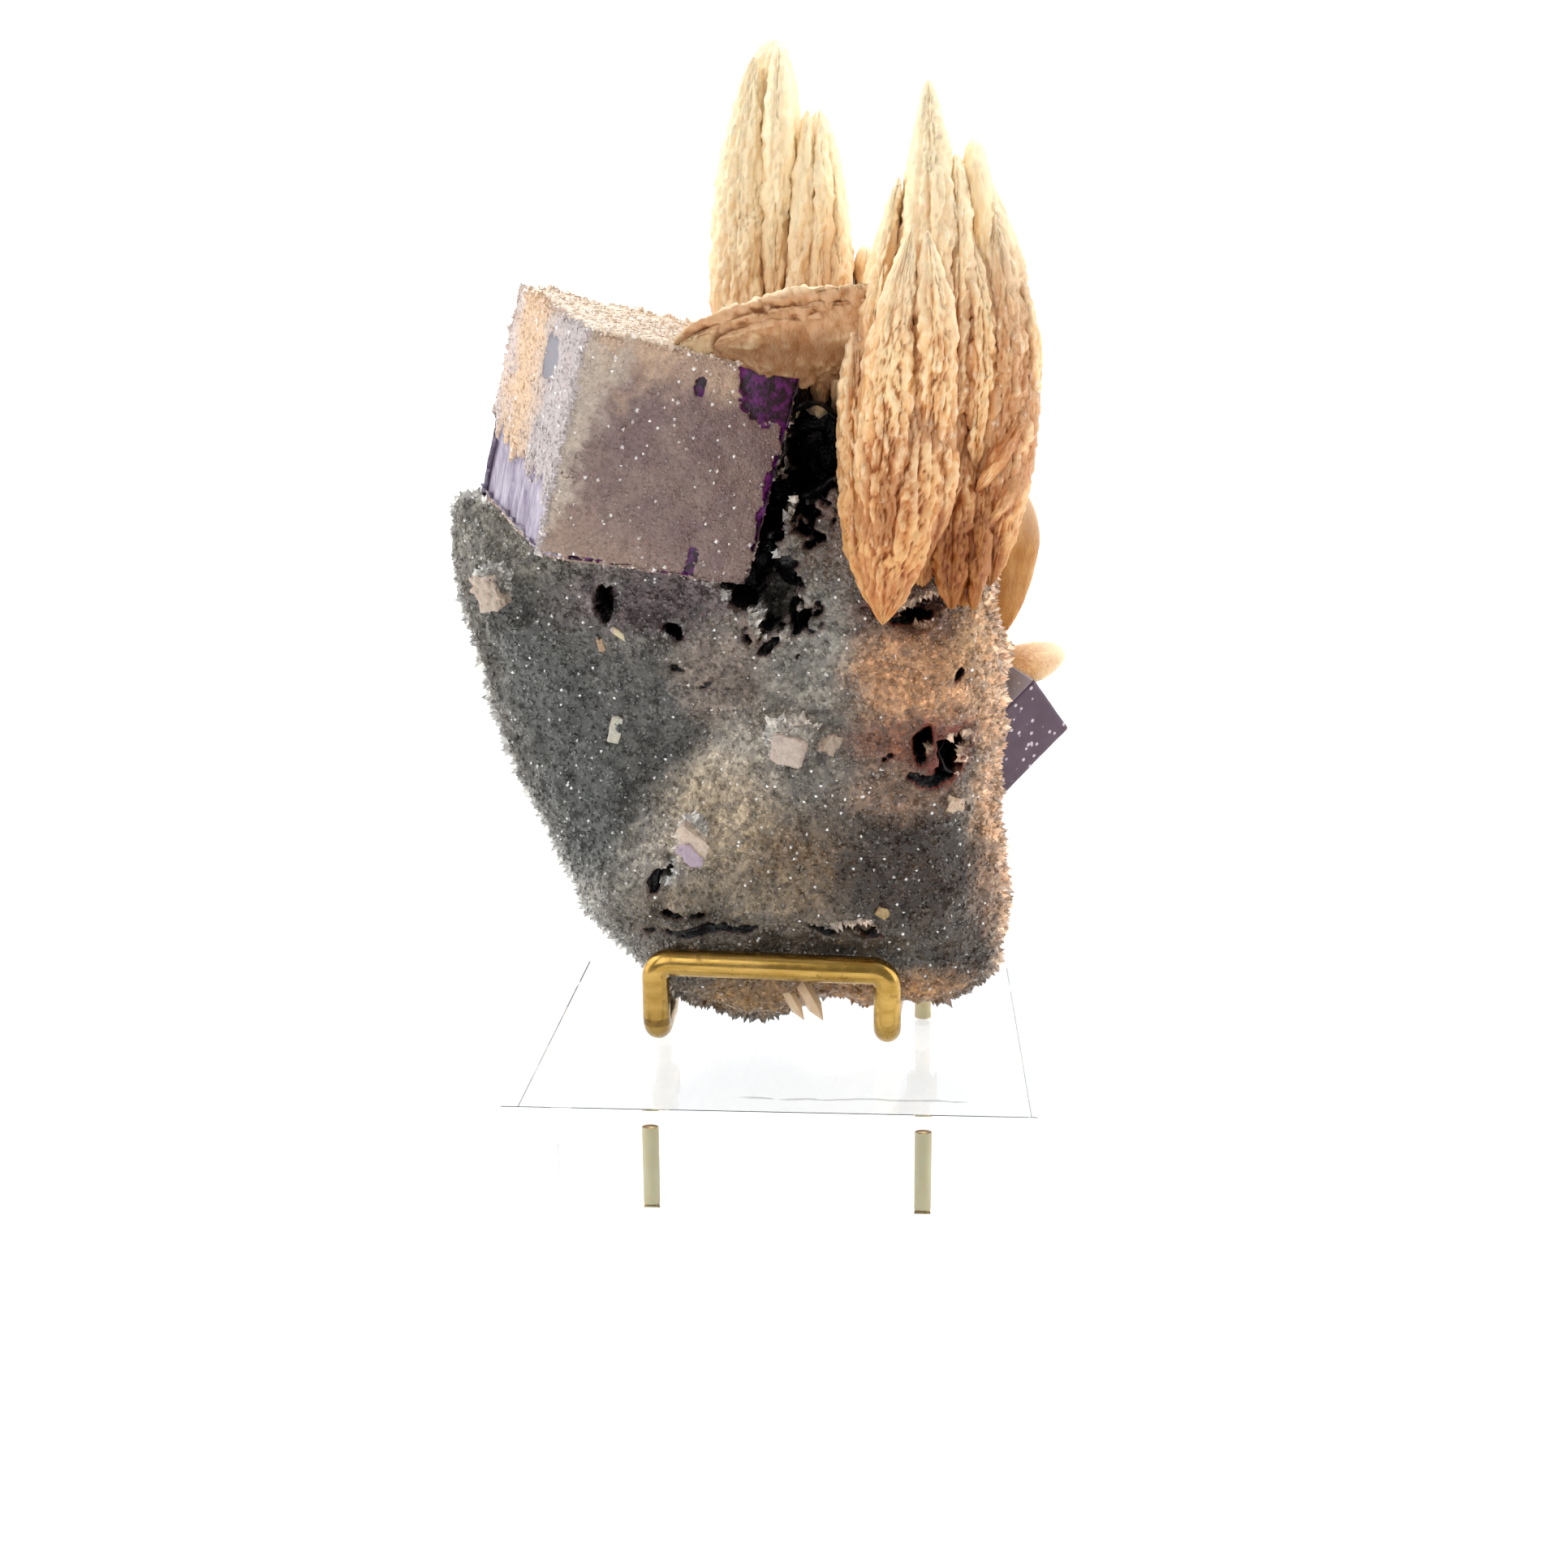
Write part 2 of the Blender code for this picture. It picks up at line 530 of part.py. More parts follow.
RIGHT_BLADES = {
    "sliver": dict(foot=(14.6, -14.0, 82.6), tip=(13.6, -12.5, 126.5), thin=SIDEWAYS,
                   half_thin=2.2, half_broad=8.5, bow=(-3.2, 0.0, 0.0), blunt=0.5, seed=1.0),
    "second": dict(foot=(14.0, -11.0, 86.0), tip=(18.3, -9.5, 141.0), thin=SIDEWAYS,
                   half_thin=3.4, half_broad=10.5, bow=(-1.6, 0.0, 0.0), fullest=0.5, seed=2.0),
    "centre": dict(foot=(21.0, -10.0, 84.0), tip=(21.4, -8.5, 151.6), thin=SIDEWAYS,
                   half_thin=5.3, half_broad=13.0, fullest=0.45, seed=3.0),
    "front": dict(foot=(15.2, -19.0, 82.4), tip=(21.0, -20.0, 132.2), thin=SIDEWAYS,
                  half_thin=5.6, half_broad=6.8, bow=(0.4, -1.0, 0.0), blunt=0.62, seed=4.0),
    "front_right": dict(foot=(20.6, -15.0, 88.5), tip=(23.2, -17.0, 129.0), thin=SIDEWAYS,
                        half_thin=2.8, half_broad=6.0, bow=(0.7, 0.0, 0.0), seed=5.0),
    "right": dict(foot=(30.4, -8.0, 86.0), tip=(27.1, -7.0, 144.6), thin=SIDEWAYS,
                  half_thin=5.6, half_broad=12.5, bow=(2.4, 0.0, 0.0), fullest=0.48, seed=6.0),
    "right_front": dict(foot=(27.4, -13.0, 92.0), tip=(29.2, -14.0, 137.0), thin=SIDEWAYS,
                        half_thin=4.2, half_broad=7.0, bow=(1.0, 0.0, 0.0), seed=7.0),
    "outer": dict(foot=(31.5, -4.0, 91.0), tip=(33.0, -3.0, 131.5), thin=SIDEWAYS,
                  half_thin=3.2, half_broad=10.0, bow=(1.9, 0.0, 0.0), blunt=0.6, seed=8.0),
    "lower": dict(foot=(27.8, -13.0, 82.0), tip=(26.5, -11.0, 112.0), thin=SIDEWAYS,
                  half_thin=4.3, half_broad=6.2, bow=(0.4, 0.0, 0.0), fullest=0.5, blunt=0.55, seed=9.0),
    "flat": dict(foot=(-11.6, -22.0, 118.2), tip=(19.0, -14.0, 123.6), thin=(-0.34, 0.746, 0.569),
                 half_thin=2.9, half_broad=8.2, bow=(0.9, 3.2, -2.6), fullest=0.5, blunt=0.62,
                 ridge=0.05, seed=21.0),
}

BACK_BLADES = {
    "left": dict(foot=(-4.6, 9.5, 111.0), tip=(-2.0, 11.5, 158.4), thin=SIDEWAYS,
                 half_thin=4.2, half_broad=10.5, bow=(-0.5, 0.0, 0.0), fullest=0.38, blunt=0.6, seed=11.0),
    "middle": dict(foot=(0.0, 9.0, 110.0), tip=(0.4, 11.0, 160.6), thin=SIDEWAYS,
                   half_thin=3.4, half_broad=12.0, fullest=0.45, blunt=0.6, seed=12.0),
    "right": dict(foot=(5.8, 8.5, 110.0), tip=(6.2, 10.0, 153.0), thin=SIDEWAYS,
                  half_thin=4.5, half_broad=11.0, bow=(0.5, 0.0, 0.0), fullest=0.38, blunt=0.6, seed=13.0),
    "shoulder": dict(foot=(10.8, 8.5, 111.0), tip=(11.0, 9.5, 137.0), thin=SIDEWAYS,
                     half_thin=2.0, half_broad=6.0, blunt=0.5, seed=14.0),
}

HONEY_BLADE = dict(foot=(31.4, 11.0, 73.2), tip=(34.2, 8.2, 98.0), thin=(0.1, 1.0, 0.1),
                   half_thin=1.9, half_broad=5.6, bow=(-0.4, 0.0, 0.0), fullest=0.6, blunt=0.5,
                   ridge=0.04, seed=22.0)

SMALL_BLADE = dict(foot=(26.0, 6.5, 67.0), tip=(42.6, 6.5, 73.6), thin=(-0.25, -0.45, 0.86),
                   half_thin=1.6, half_broad=4.6, bow=(0.0, 0.0, 0.4), fullest=0.6, blunt=0.5,
                   ridge=0.04, seed=23.0)


def make_cluster(name, blades, baryte):
    """Blades grown into each other are one solid."""
    names = list(blades)
    cluster = make_object(name, blade(**blades[names[0]]), baryte)
    for part in names[1:]:
        addition = as_guide(make_object(name + "_" + part, blade(**blades[part])))
        combine(cluster, addition, "UNION", solver="MANIFOLD")
    return cluster


def make_barytes(baryte, cube_guide, side_guide):
    ground = as_guide(matrix_body("matrix_clearance", grow=GAP + 0.1))
    right = make_cluster("baryte_cluster_right", RIGHT_BLADES, baryte)
    back = make_cluster("baryte_cluster_back", BACK_BLADES, baryte)
    honey = make_cluster("baryte_blade_honey", {"only": HONEY_BLADE}, baryte)
    small = make_cluster("baryte_blade_small", {"only": SMALL_BLADE}, baryte)
    for item in (right, back, honey, small):
        combine(item, ground, "DIFFERENCE", solver="MANIFOLD")
    for item in (right, back):
        combine(item, cube_guide, "DIFFERENCE", solver="MANIFOLD")
    for item in (honey, small):
        combine(item, side_guide, "DIFFERENCE")


def main():
    clear_scene()
    brass = make_material("brass", (0.52, 0.34, 0.10), 0.28, metallic=1.0)
    acrylic = make_material("acrylic", (0.95, 0.98, 1.0), 0.02, transmission=1.0, ior=1.49)
    stone = make_material("quartz_druse", (0.20, 0.18, 0.16), 0.45)
    fluorite = make_material("fluorite", (0.26, 0.17, 0.22), 0.35)
    baryte = make_material("baryte", (0.70, 0.42, 0.20), 0.6)
    cube_guide, side_guide = make_cubes(fluorite)
    make_base(acrylic)
    make_object("brass_back_rest", rod(back_rest_points(), UPRIGHT_RADIUS), brass)
    make_cradle(brass)
    make_matrix(stone, cube_guide, side_guide)
    make_barytes(baryte, cube_guide, side_guide)


main()
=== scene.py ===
"""Looks for the baryte and fluorite specimen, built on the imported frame.

Shapes are worked out in millimetres in the frame's own axes: +Z up, +X to the
viewer's right and +Y away from the viewer.
"""
import math
from itertools import product

import bmesh
import bpy
import numpy as np
from mathutils import Euler, Matrix, Vector


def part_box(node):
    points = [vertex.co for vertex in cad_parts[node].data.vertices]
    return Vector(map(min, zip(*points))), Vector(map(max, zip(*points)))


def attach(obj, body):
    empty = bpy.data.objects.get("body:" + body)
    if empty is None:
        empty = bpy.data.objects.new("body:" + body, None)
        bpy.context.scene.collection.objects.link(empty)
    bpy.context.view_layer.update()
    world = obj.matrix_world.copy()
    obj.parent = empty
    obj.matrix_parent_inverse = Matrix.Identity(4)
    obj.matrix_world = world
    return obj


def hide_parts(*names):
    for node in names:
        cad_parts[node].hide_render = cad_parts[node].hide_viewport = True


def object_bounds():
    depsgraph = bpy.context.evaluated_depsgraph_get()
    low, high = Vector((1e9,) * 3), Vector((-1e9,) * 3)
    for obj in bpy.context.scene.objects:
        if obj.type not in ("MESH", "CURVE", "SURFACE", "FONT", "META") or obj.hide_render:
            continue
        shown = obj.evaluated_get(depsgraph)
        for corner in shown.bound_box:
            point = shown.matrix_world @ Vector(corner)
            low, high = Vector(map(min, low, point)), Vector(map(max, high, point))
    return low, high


MM = 0.001
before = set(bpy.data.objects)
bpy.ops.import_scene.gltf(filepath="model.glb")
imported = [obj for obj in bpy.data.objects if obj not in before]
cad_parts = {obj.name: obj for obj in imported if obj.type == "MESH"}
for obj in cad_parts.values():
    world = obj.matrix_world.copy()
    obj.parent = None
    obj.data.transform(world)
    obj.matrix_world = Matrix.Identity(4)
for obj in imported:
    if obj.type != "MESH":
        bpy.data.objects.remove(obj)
cad_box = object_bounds()


# Noise

def hashed(x, y, z, seed):
    """A number from 0 to 1 for each whole cell."""
    n = (x * 73856093) ^ (y * 19349663) ^ (z * 83492791) ^ (seed * 2654435761)
    n = n.astype(np.uint32).astype(np.uint64)
    n = ((n ^ (n >> np.uint64(15))) * np.uint64(2246822519)) & np.uint64(0xFFFFFFFF)
    n = ((n ^ (n >> np.uint64(13))) * np.uint64(3266489917)) & np.uint64(0xFFFFFFFF)
    return (n ^ (n >> np.uint64(16))) / 4294967296.0


def noise(points, seed=0):
    """Smooth noise from -1 to 1 whose lumps are about one unit wide."""
    base = np.floor(points)
    f = points - base
    f = f * f * f * (f * (f * 6.0 - 15.0) + 10.0)
    base = base.astype(np.int64)
    total = np.zeros(len(points))
    for dx, dy, dz in product((0, 1), repeat=3):
        weight = ((f[:, 0] if dx else 1 - f[:, 0]) * (f[:, 1] if dy else 1 - f[:, 1])
                  * (f[:, 2] if dz else 1 - f[:, 2]))
        total += weight * hashed(base[:, 0] + dx, base[:, 1] + dy, base[:, 2] + dz, seed)
    return total * 2.0 - 1.0


def fractal(points, seed=0, octaves=3):
    total = np.zeros(len(points))
    for octave in range(octaves):
        total += noise(points * 2.0 ** octave, seed + octave) / 2.0 ** octave
    return total


def cells(points, seed=0):
    """Distances to the nearest and next cell points, and a number for the cell."""
    base = np.floor(points).astype(np.int64)
    first = np.full(len(points), 9.0)
    second = np.full(len(points), 9.0)
    tag = np.zeros(len(points))
    for shift in product((-1, 0, 1), repeat=3):
        cell = base + np.array(shift)
        place = np.stack([hashed(cell[:, 0], cell[:, 1], cell[:, 2], seed + k) for k in range(3)], 1)
        away = np.linalg.norm(cell + place - points, axis=1)
        nearer = away < first
        second = np.where(nearer, first, np.minimum(second, away))
        tag = np.where(nearer, hashed(cell[:, 0], cell[:, 1], cell[:, 2], seed + 7), tag)
        first = np.where(nearer, away, first)
    return first, second, tag


def step(low, high, value):
    share = np.clip((value - low) / (high - low), 0.0, 1.0)
    return share * share * (3.0 - 2.0 * share)


# Meshes as arrays

def make_mesh(name, points, faces):
    """An object from points in millimetres and one array of equal faces."""
    mesh = bpy.data.meshes.new(name)
    sides = faces.shape[1]
    mesh.vertices.add(len(points))
    mesh.vertices.foreach_set("co", (points * MM).astype(np.float32).ravel())
    mesh.loops.add(faces.size)
    mesh.loops.foreach_set("vertex_index", faces.astype(np.int32).ravel())
    mesh.polygons.add(len(faces))
    mesh.polygons.foreach_set("loop_start", np.arange(len(faces), dtype=np.int32) * sides)
    mesh.update(calc_edges=True)
    mesh.validate()
    item = bpy.data.objects.new(name, mesh)
    bpy.context.scene.collection.objects.link(item)
    return item


def get_points(mesh):
    points = np.zeros(len(mesh.vertices) * 3, np.float32)
    mesh.vertices.foreach_get("co", points)
    return points.reshape(-1, 3).astype(float) / MM


def set_points(mesh, points):
    mesh.vertices.foreach_set("co", (points * MM).astype(np.float32).ravel())
    mesh.update()


def get_normals(mesh):
    normals = np.zeros(len(mesh.vertices) * 3, np.float32)
    mesh.vertex_normals.foreach_get("vector", normals)
    return normals.reshape(-1, 3).astype(float)


def get_edges(mesh):
    edges = np.zeros(len(mesh.edges) * 2, np.int32)
    mesh.edges.foreach_get("vertices", edges)
    return edges.reshape(-1, 2)


def smoothed(values, edges, rounds):
    count = len(values)
    degree = np.bincount(edges.ravel(), minlength=count).clip(1)
    for _ in range(rounds):
        total = np.stack([
            np.bincount(edges[:, 0], values[edges[:, 1], k], count)
            + np.bincount(edges[:, 1], values[edges[:, 0], k], count)
            for k in range(values.shape[1])], 1)
        values = 0.5 * values + 0.5 * total / degree[:, None]
    return values


def bake(item):
    graph = bpy.context.evaluated_depsgraph_get()
    mesh = bpy.data.meshes.new_from_object(item.evaluated_get(graph))
    item.modifiers.clear()
    item.data = mesh


def remesh(item, voxel):
    grid = item.modifiers.new("grid", "REMESH")
    grid.mode = "VOXEL"
    grid.voxel_size = voxel * MM
    bake(item)


def shade(item, smooth):
    item.data.polygons.foreach_set("use_smooth", np.full(len(item.data.polygons), smooth))
    item.data.update()


def write_value(item, name, values):
    layer = item.data.attributes.new(name, "FLOAT", "POINT")
    layer.data.foreach_set("value", values.astype(np.float32))


def write_relief(item, rounds, reach):
    """Keep how far each point stands out of its surroundings, from -1 to 1."""
    points = get_points(item.data)
    level = smoothed(points, get_edges(item.data), rounds)
    stand = np.einsum("ij,ij->i", points - level, get_normals(item.data))
    write_value(item, "relief", np.clip(stand / reach, -1.0, 1.0))


def keep_inside(points, margin=0.05):
    low, high = (np.array(corner) / MM for corner in cad_box)
    return np.clip(points, low + margin, high - margin)


def finish_piece(item, material, nodes):
    item.data.materials.clear()
    item.data.materials.append(material)
    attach(item, "root")
    if nodes:
        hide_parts(*nodes)


# Material nodes

class Paint:
    """Short names for the shader nodes of one material."""

    def __init__(self, name):
        self.material = bpy.data.materials.new(name)
        self.material.use_nodes = True
        self.tree = self.material.node_tree
        self.shader = self.tree.nodes["Principled BSDF"]
        coords = self.tree.nodes.new("ShaderNodeTexCoord")
        scaled = self.tree.nodes.new("ShaderNodeVectorMath")
        scaled.operation = "SCALE"
        scaled.inputs["Scale"].default_value = 1.0 / MM
        self.tree.links.new(coords.outputs["Object"], scaled.inputs[0])
        self.mm = scaled.outputs["Vector"]

    def link(self, source, socket):
        if isinstance(source, (int, float)):
            socket.default_value = source
        elif isinstance(source, tuple):
            socket.default_value = source if len(source) == len(socket.default_value) else (*source, 1.0)
        else:
            self.tree.links.new(source, socket)

    def set(self, **values):
        for name, value in values.items():
            self.shader.inputs[name.replace("_", " ")].default_value = value

    def feed(self, socket, source):
        self.tree.links.new(source, self.shader.inputs[socket])

    def math(self, operation, a, b=0.0):
        node = self.tree.nodes.new("ShaderNodeMath")
        node.operation = operation
        self.link(a, node.inputs[0])
        self.link(b, node.inputs[1])
        return node.outputs[0]

    def vector(self, operation, a, b):
        node = self.tree.nodes.new("ShaderNodeVectorMath")
        node.operation = operation
        self.link(a, node.inputs[0])
        self.link(b, node.inputs[1])
        return node.outputs["Value" if operation in ("LENGTH", "DOT_PRODUCT") else "Vector"]

    def place(self, centre=(0.0, 0.0, 0.0), turn_y=0.0, size=(1.0, 1.0, 1.0), source=None):
        """Coordinates round a centre, turned in the X, Z plane, then divided by size."""
        moved = self.vector("SUBTRACT", source or self.mm, centre)
        turned = self.tree.nodes.new("ShaderNodeVectorRotate")
        turned.rotation_type = "Y_AXIS"
        turned.inputs["Angle"].default_value = math.radians(turn_y)
        self.link(moved, turned.inputs["Vector"])
        return self.vector("DIVIDE", turned.outputs[0], size)

    def noise(self, wavelength, detail=2.0, source=None, rough=0.5, stretch=(1.0, 1.0, 1.0), seed=0.0):
        node = self.tree.nodes.new("ShaderNodeTexNoise")
        sized = self.vector("MULTIPLY", source or self.mm, tuple(1.0 / (wavelength * s) for s in stretch))
        shifted = self.vector("ADD", sized, (seed * 7.3, seed * 3.1, seed * 5.7))
        self.link(shifted, node.inputs["Vector"])
        node.inputs["Scale"].default_value = 1.0
        node.inputs["Detail"].default_value = detail
        node.inputs["Roughness"].default_value = rough
        return node.outputs["Fac"]

    def cells(self, wavelength, output="Distance", source=None, stretch=(1.0, 1.0, 1.0), feature="F1"):
        node = self.tree.nodes.new("ShaderNodeTexVoronoi")
        node.feature = feature
        sized = self.vector("MULTIPLY", source or self.mm, tuple(1.0 / (wavelength * s) for s in stretch))
        self.link(sized, node.inputs["Vector"])
        node.inputs["Scale"].default_value = 1.0
        return node.outputs[output]

    def value(self, name):
        node = self.tree.nodes.new("ShaderNodeAttribute")
        node.attribute_name = name
        return node.outputs["Fac"]

    def ramp(self, source, low, high, out_low=0.0, out_high=1.0):
        node = self.tree.nodes.new("ShaderNodeMapRange")
        node.interpolation_type = "SMOOTHSTEP"
        self.link(source, node.inputs["Value"])
        node.inputs["From Min"].default_value = low
        node.inputs["From Max"].default_value = high
        node.inputs["To Min"].default_value = out_low
        node.inputs["To Max"].default_value = out_high
        return node.outputs["Result"]

    def mix(self, share, first, second, mode="MIX"):
        node = self.tree.nodes.new("ShaderNodeMix")
        node.data_type = "RGBA"
        node.blend_type = mode
        node.clamp_factor = True
        self.link(share, node.inputs[0])
        self.link(first, node.inputs[6])
        self.link(second, node.inputs[7])
        return node.outputs[2]

    def bump(self, height, distance, strength=1.0, normal=None):
        node = self.tree.nodes.new("ShaderNodeBump")
        node.inputs["Strength"].default_value = strength
        node.inputs["Distance"].default_value = distance * MM
        self.link(height, node.inputs["Height"])
        if normal is not None:
            self.link(normal, node.inputs["Normal"])
        return node.outputs[0]

    def warped(self, wavelength, reach):
        """The place in millimetres, pushed about by noise."""
        node = self.tree.nodes.new("ShaderNodeTexNoise")
        sized = self.vector("MULTIPLY", self.mm, (1.0 / wavelength,) * 3)
        self.link(sized, node.inputs["Vector"])
        node.inputs["Scale"].default_value = 1.0
        node.inputs["Detail"].default_value = 2.0
        push = self.vector("SUBTRACT", node.outputs["Color"], (0.5, 0.5, 0.5))
        push = self.vector("MULTIPLY", push, (reach * 2.0,) * 3)
        return self.vector("ADD", self.mm, push)


def tint(red, green, blue):
    """A screen colour from 0 to 255 as the linear colour that shaders take."""
    return tuple(round(((c / 255 + 0.055) / 1.055) ** 2.4 if c > 10 else c / 3294.6, 4)
                 for c in (red, green, blue))


# Quartz crust on the matrix

MATRIX_CORE = (-5.0, 66.0)
MATRIX_VOXEL = 0.56

# Each zone: centre x, z; half sizes; turn in degrees; softness; colour; strength
MATRIX_ZONES = [
    ((-31.0, 66.0), (9.0, 24.0), 20.0, 0.6, (66, 68, 66), 0.9),
    ((-18.5, 67.5), (9.0, 11.0), 8.0, 0.7, (66, 66, 64), 0.85),
    ((-39.0, 93.0), (7.0, 7.0), 0.0, 0.5, (114, 110, 101), 0.9),
    # Painted shade under the large cube
    ((-16.0, 84.0), (13.0, 4.5), 6.0, 0.6, (84, 70, 74), 0.85),
    ((-27.0, 50.0), (6.0, 8.0), 20.0, 0.6, (70, 72, 70), 0.8),
    ((-7.5, 73.0), (6.0, 7.0), 0.0, 0.6, (116, 102, 92), 0.8),
    ((7.0, 75.5), (6.5, 10.5), 0.0, 0.6, (122, 119, 112), 0.85),
    ((10.0, 95.0), (5.0, 9.0), 0.0, 0.5, (100, 86, 78), 0.85),
    ((-7.5, 57.5), (19.0, 4.8), 44.0, 0.6, (160, 152, 140), 0.85),
    ((-6.5, 53.0), (8.0, 7.0), 0.0, 0.6, (164, 146, 120), 0.8),
    ((5.0, 46.0), (9.0, 7.5), 20.0, 0.6, (98, 76, 50), 0.85),
    ((-7.0, 41.5), (12.0, 4.0), 10.0, 0.6, (120, 106, 86), 0.75),
    ((19.5, 47.0), (10.0, 11.5), 0.0, 0.5, (42, 26, 13), 0.97),
    ((21.0, 73.5), (9.5, 8.0), 0.0, 0.5, (182, 136, 96), 0.9),
    ((20.5, 64.4), (9.0, 3.8), 10.0, 0.6, (112, 64, 38), 0.9),
    ((18.5, 57.0), (8.0, 3.5), 0.0, 0.6, (120, 94, 74), 0.8),
    # Painted shadow under the baryte blades
    ((19.0, 82.4), (8.0, 3.6), 0.0, 0.5, (70, 36, 22), 0.92),
    ((32.4, 58.0), (3.2, 22.0), 2.0, 0.6, (190, 148, 110), 0.85),
    ((23.6, 62.6), (4.2, 4.6), 0.0, 0.4, (88, 32, 14), 0.95),
    ((29.8, 79.0), (3.6, 7.0), 0.0, 0.6, (184, 146, 106), 0.8),
    ((31.0, 40.5), (3.4, 8.0), -6.0, 0.6, (112, 82, 60), 0.9),
    ((27.0, 31.5), (6.0, 7.0), 30.0, 0.6, (52, 40, 30), 0.9),
    ((-12.0, 37.0), (11.0, 2.2), 3.0, 0.5, (74, 66, 54), 0.85),
    ((14.0, 26.0), (14.0, 3.6), 0.0, 0.5, (170, 128, 86), 0.95),
    ((-2.0, 25.0), (10.0, 4.0), 0.0, 0.6, (138, 104, 60), 0.85),
    ((6.0, 34.0), (20.0, 2.2), 3.0, 0.5, (66, 54, 40), 0.85),
]

# Ragged hollows on the front, pushed in and painted near black as painted shade: centre x, z; half sizes; turn; depth
HOLLOWS = [
    ((1.0, 83.2), (4.8, 5.0), -30.0, 8.0),
    ((-3.4, 84.6), (3.6, 2.3), 14.0, 6.0),
    ((-0.6, 93.8), (2.4, 4.8), 14.0, 8.0),
    ((-1.5, 88.6), (1.8, 3.2), 16.0, 6.0),
    ((-6.2, 87.4), (1.1, 2.0), 10.0, 4.0),
    ((2.6, 88.6), (2.2, 0.8), 12.0, 3.0),
    ((-0.4, 77.2), (2.2, 0.7), -38.0, 2.4),
    ((6.8, 108.5), (7.0, 13.0), 10.0, 8.0),
    ((0.8, 97.8), (2.3, 4.4), 22.0, 7.0),
    ((5.2, 98.0), (1.9, 1.2), 14.0, 4.0),
    ((-23.8, 83.6), (1.1, 2.7), -4.0, 4.0),
    ((-13.9, 79.1), (1.7, 0.9), 24.0, 3.5),
    ((-13.4, 73.8), (1.3, 0.35), 14.0, 1.6),
    ((-9.6, 71.6), (0.9, 0.3), -24.0, 1.2),
    ((25.0, 62.0), (1.8, 3.4), 14.0, 5.0),
    ((21.2, 63.6), (1.2, 2.2), 20.0, 4.0),
    ((22.8, 58.6), (2.2, 0.8), -14.0, 3.0),
    ((26.2, 73.4), (0.5, 1.3), 30.0, 2.4),
    ((20.2, 59.4), (1.6, 0.6), 10.0, 2.2),
    ((16.2, 62.2), (1.2, 0.4), -24.0, 1.6),
    ((-17.2, 43.4), (1.0, 1.7), 10.0, 2.6),
    ((-14.8, 38.6), (1.7, 0.8), 10.0, 2.6),
    ((-11.0, 38.2), (1.2, 0.4), 4.0, 2.0),
    ((7.4, 36.4), (2.6, 0.5), 20.0, 2.4),
    ((14.6, 35.8), (1.9, 0.45), 4.0, 2.0),
    ((-9.0, 36.0), (8.0, 0.7), -4.0, 1.6),
    ((19.4, 81.0), (3.0, 0.7), -6.0, 3.0),
    ((15.6, 82.4), (2.2, 0.7), 10.0, 3.0),
    ((-29.6, 89.6), (1.0, 0.4), 10.0, 1.6),
]

# Pale grown over cubes and flakes: centre x, z; edges; turn; colour
PALE_LUMPS = [
    ((2.8, 63.8), (4.6, 3.2, 4.4), (4.0, 10.0, -14.0), (184, 168, 156)),
    ((8.2, 64.2), (3.2, 3.0, 3.0), (8.0, 20.0, 38.0), (168, 150, 132)),
    ((-11.0, 50.2), (5.2, 3.0, 2.5), (10.0, 40.0, 12.0), (200, 182, 164)),
    ((25.8, 55.4), (2.5, 2.4, 2.5), (30.0, 10.0, 20.0), (200, 174, 148)),
    ((-40.2, 84.6), (4.2, 4.0, 5.0), (10.0, -14.0, -18.0), (184, 168, 152)),
    ((-21.2, 78.8), (0.9, 1.2, 3.6), (6.0, -52.0, 10.0), (214, 202, 164)),
    ((-24.4, 77.0), (1.0, 1.2, 3.0), (6.0, -16.0, 0.0), (172, 142, 112)),
    ((-22.7, 64.8), (1.8, 1.0, 4.2), (4.0, 14.0, 0.0), (186, 182, 166)),
    ((15.8, 39.6), (1.9, 1.8, 1.7), (10.0, 24.0, 10.0), (168, 142, 98)),
    ((12.8, 36.0), (3.4, 1.2, 1.2), (0.0, 12.0, 6.0), (172, 150, 126)),
]
LILAC_FACE = ((-11.4, 48.4), (4.2, 2.8, 2.2), (10.0, 44.0, 12.0), (168, 150, 164))


def hollow_field(points):
    """How far into a hollow each point is, above 0 inside, and how deep it goes."""
    field = np.full(len(points), -1.0)
    depth = np.zeros(len(points))
    flat = points * np.array([1.0, 0.0, 1.0])
    ragged = 0.40 * fractal(flat / 1.8, 31, 3) + 0.22 * noise(flat / 0.8, 37)
    for (x, z), (wide, high), turn, deep in HOLLOWS:
        angle = math.radians(turn)
        dx = points[:, 0] - x
        dz = points[:, 2] - z
        across = (dx * math.cos(angle) - dz * math.sin(angle)) / wide
        along = (dx * math.sin(angle) + dz * math.cos(angle)) / high
        inside = 1.0 - np.hypot(across, along) - ragged
        depth = np.where(inside > field, deep, depth)
        field = np.maximum(field, inside)
    return field, depth


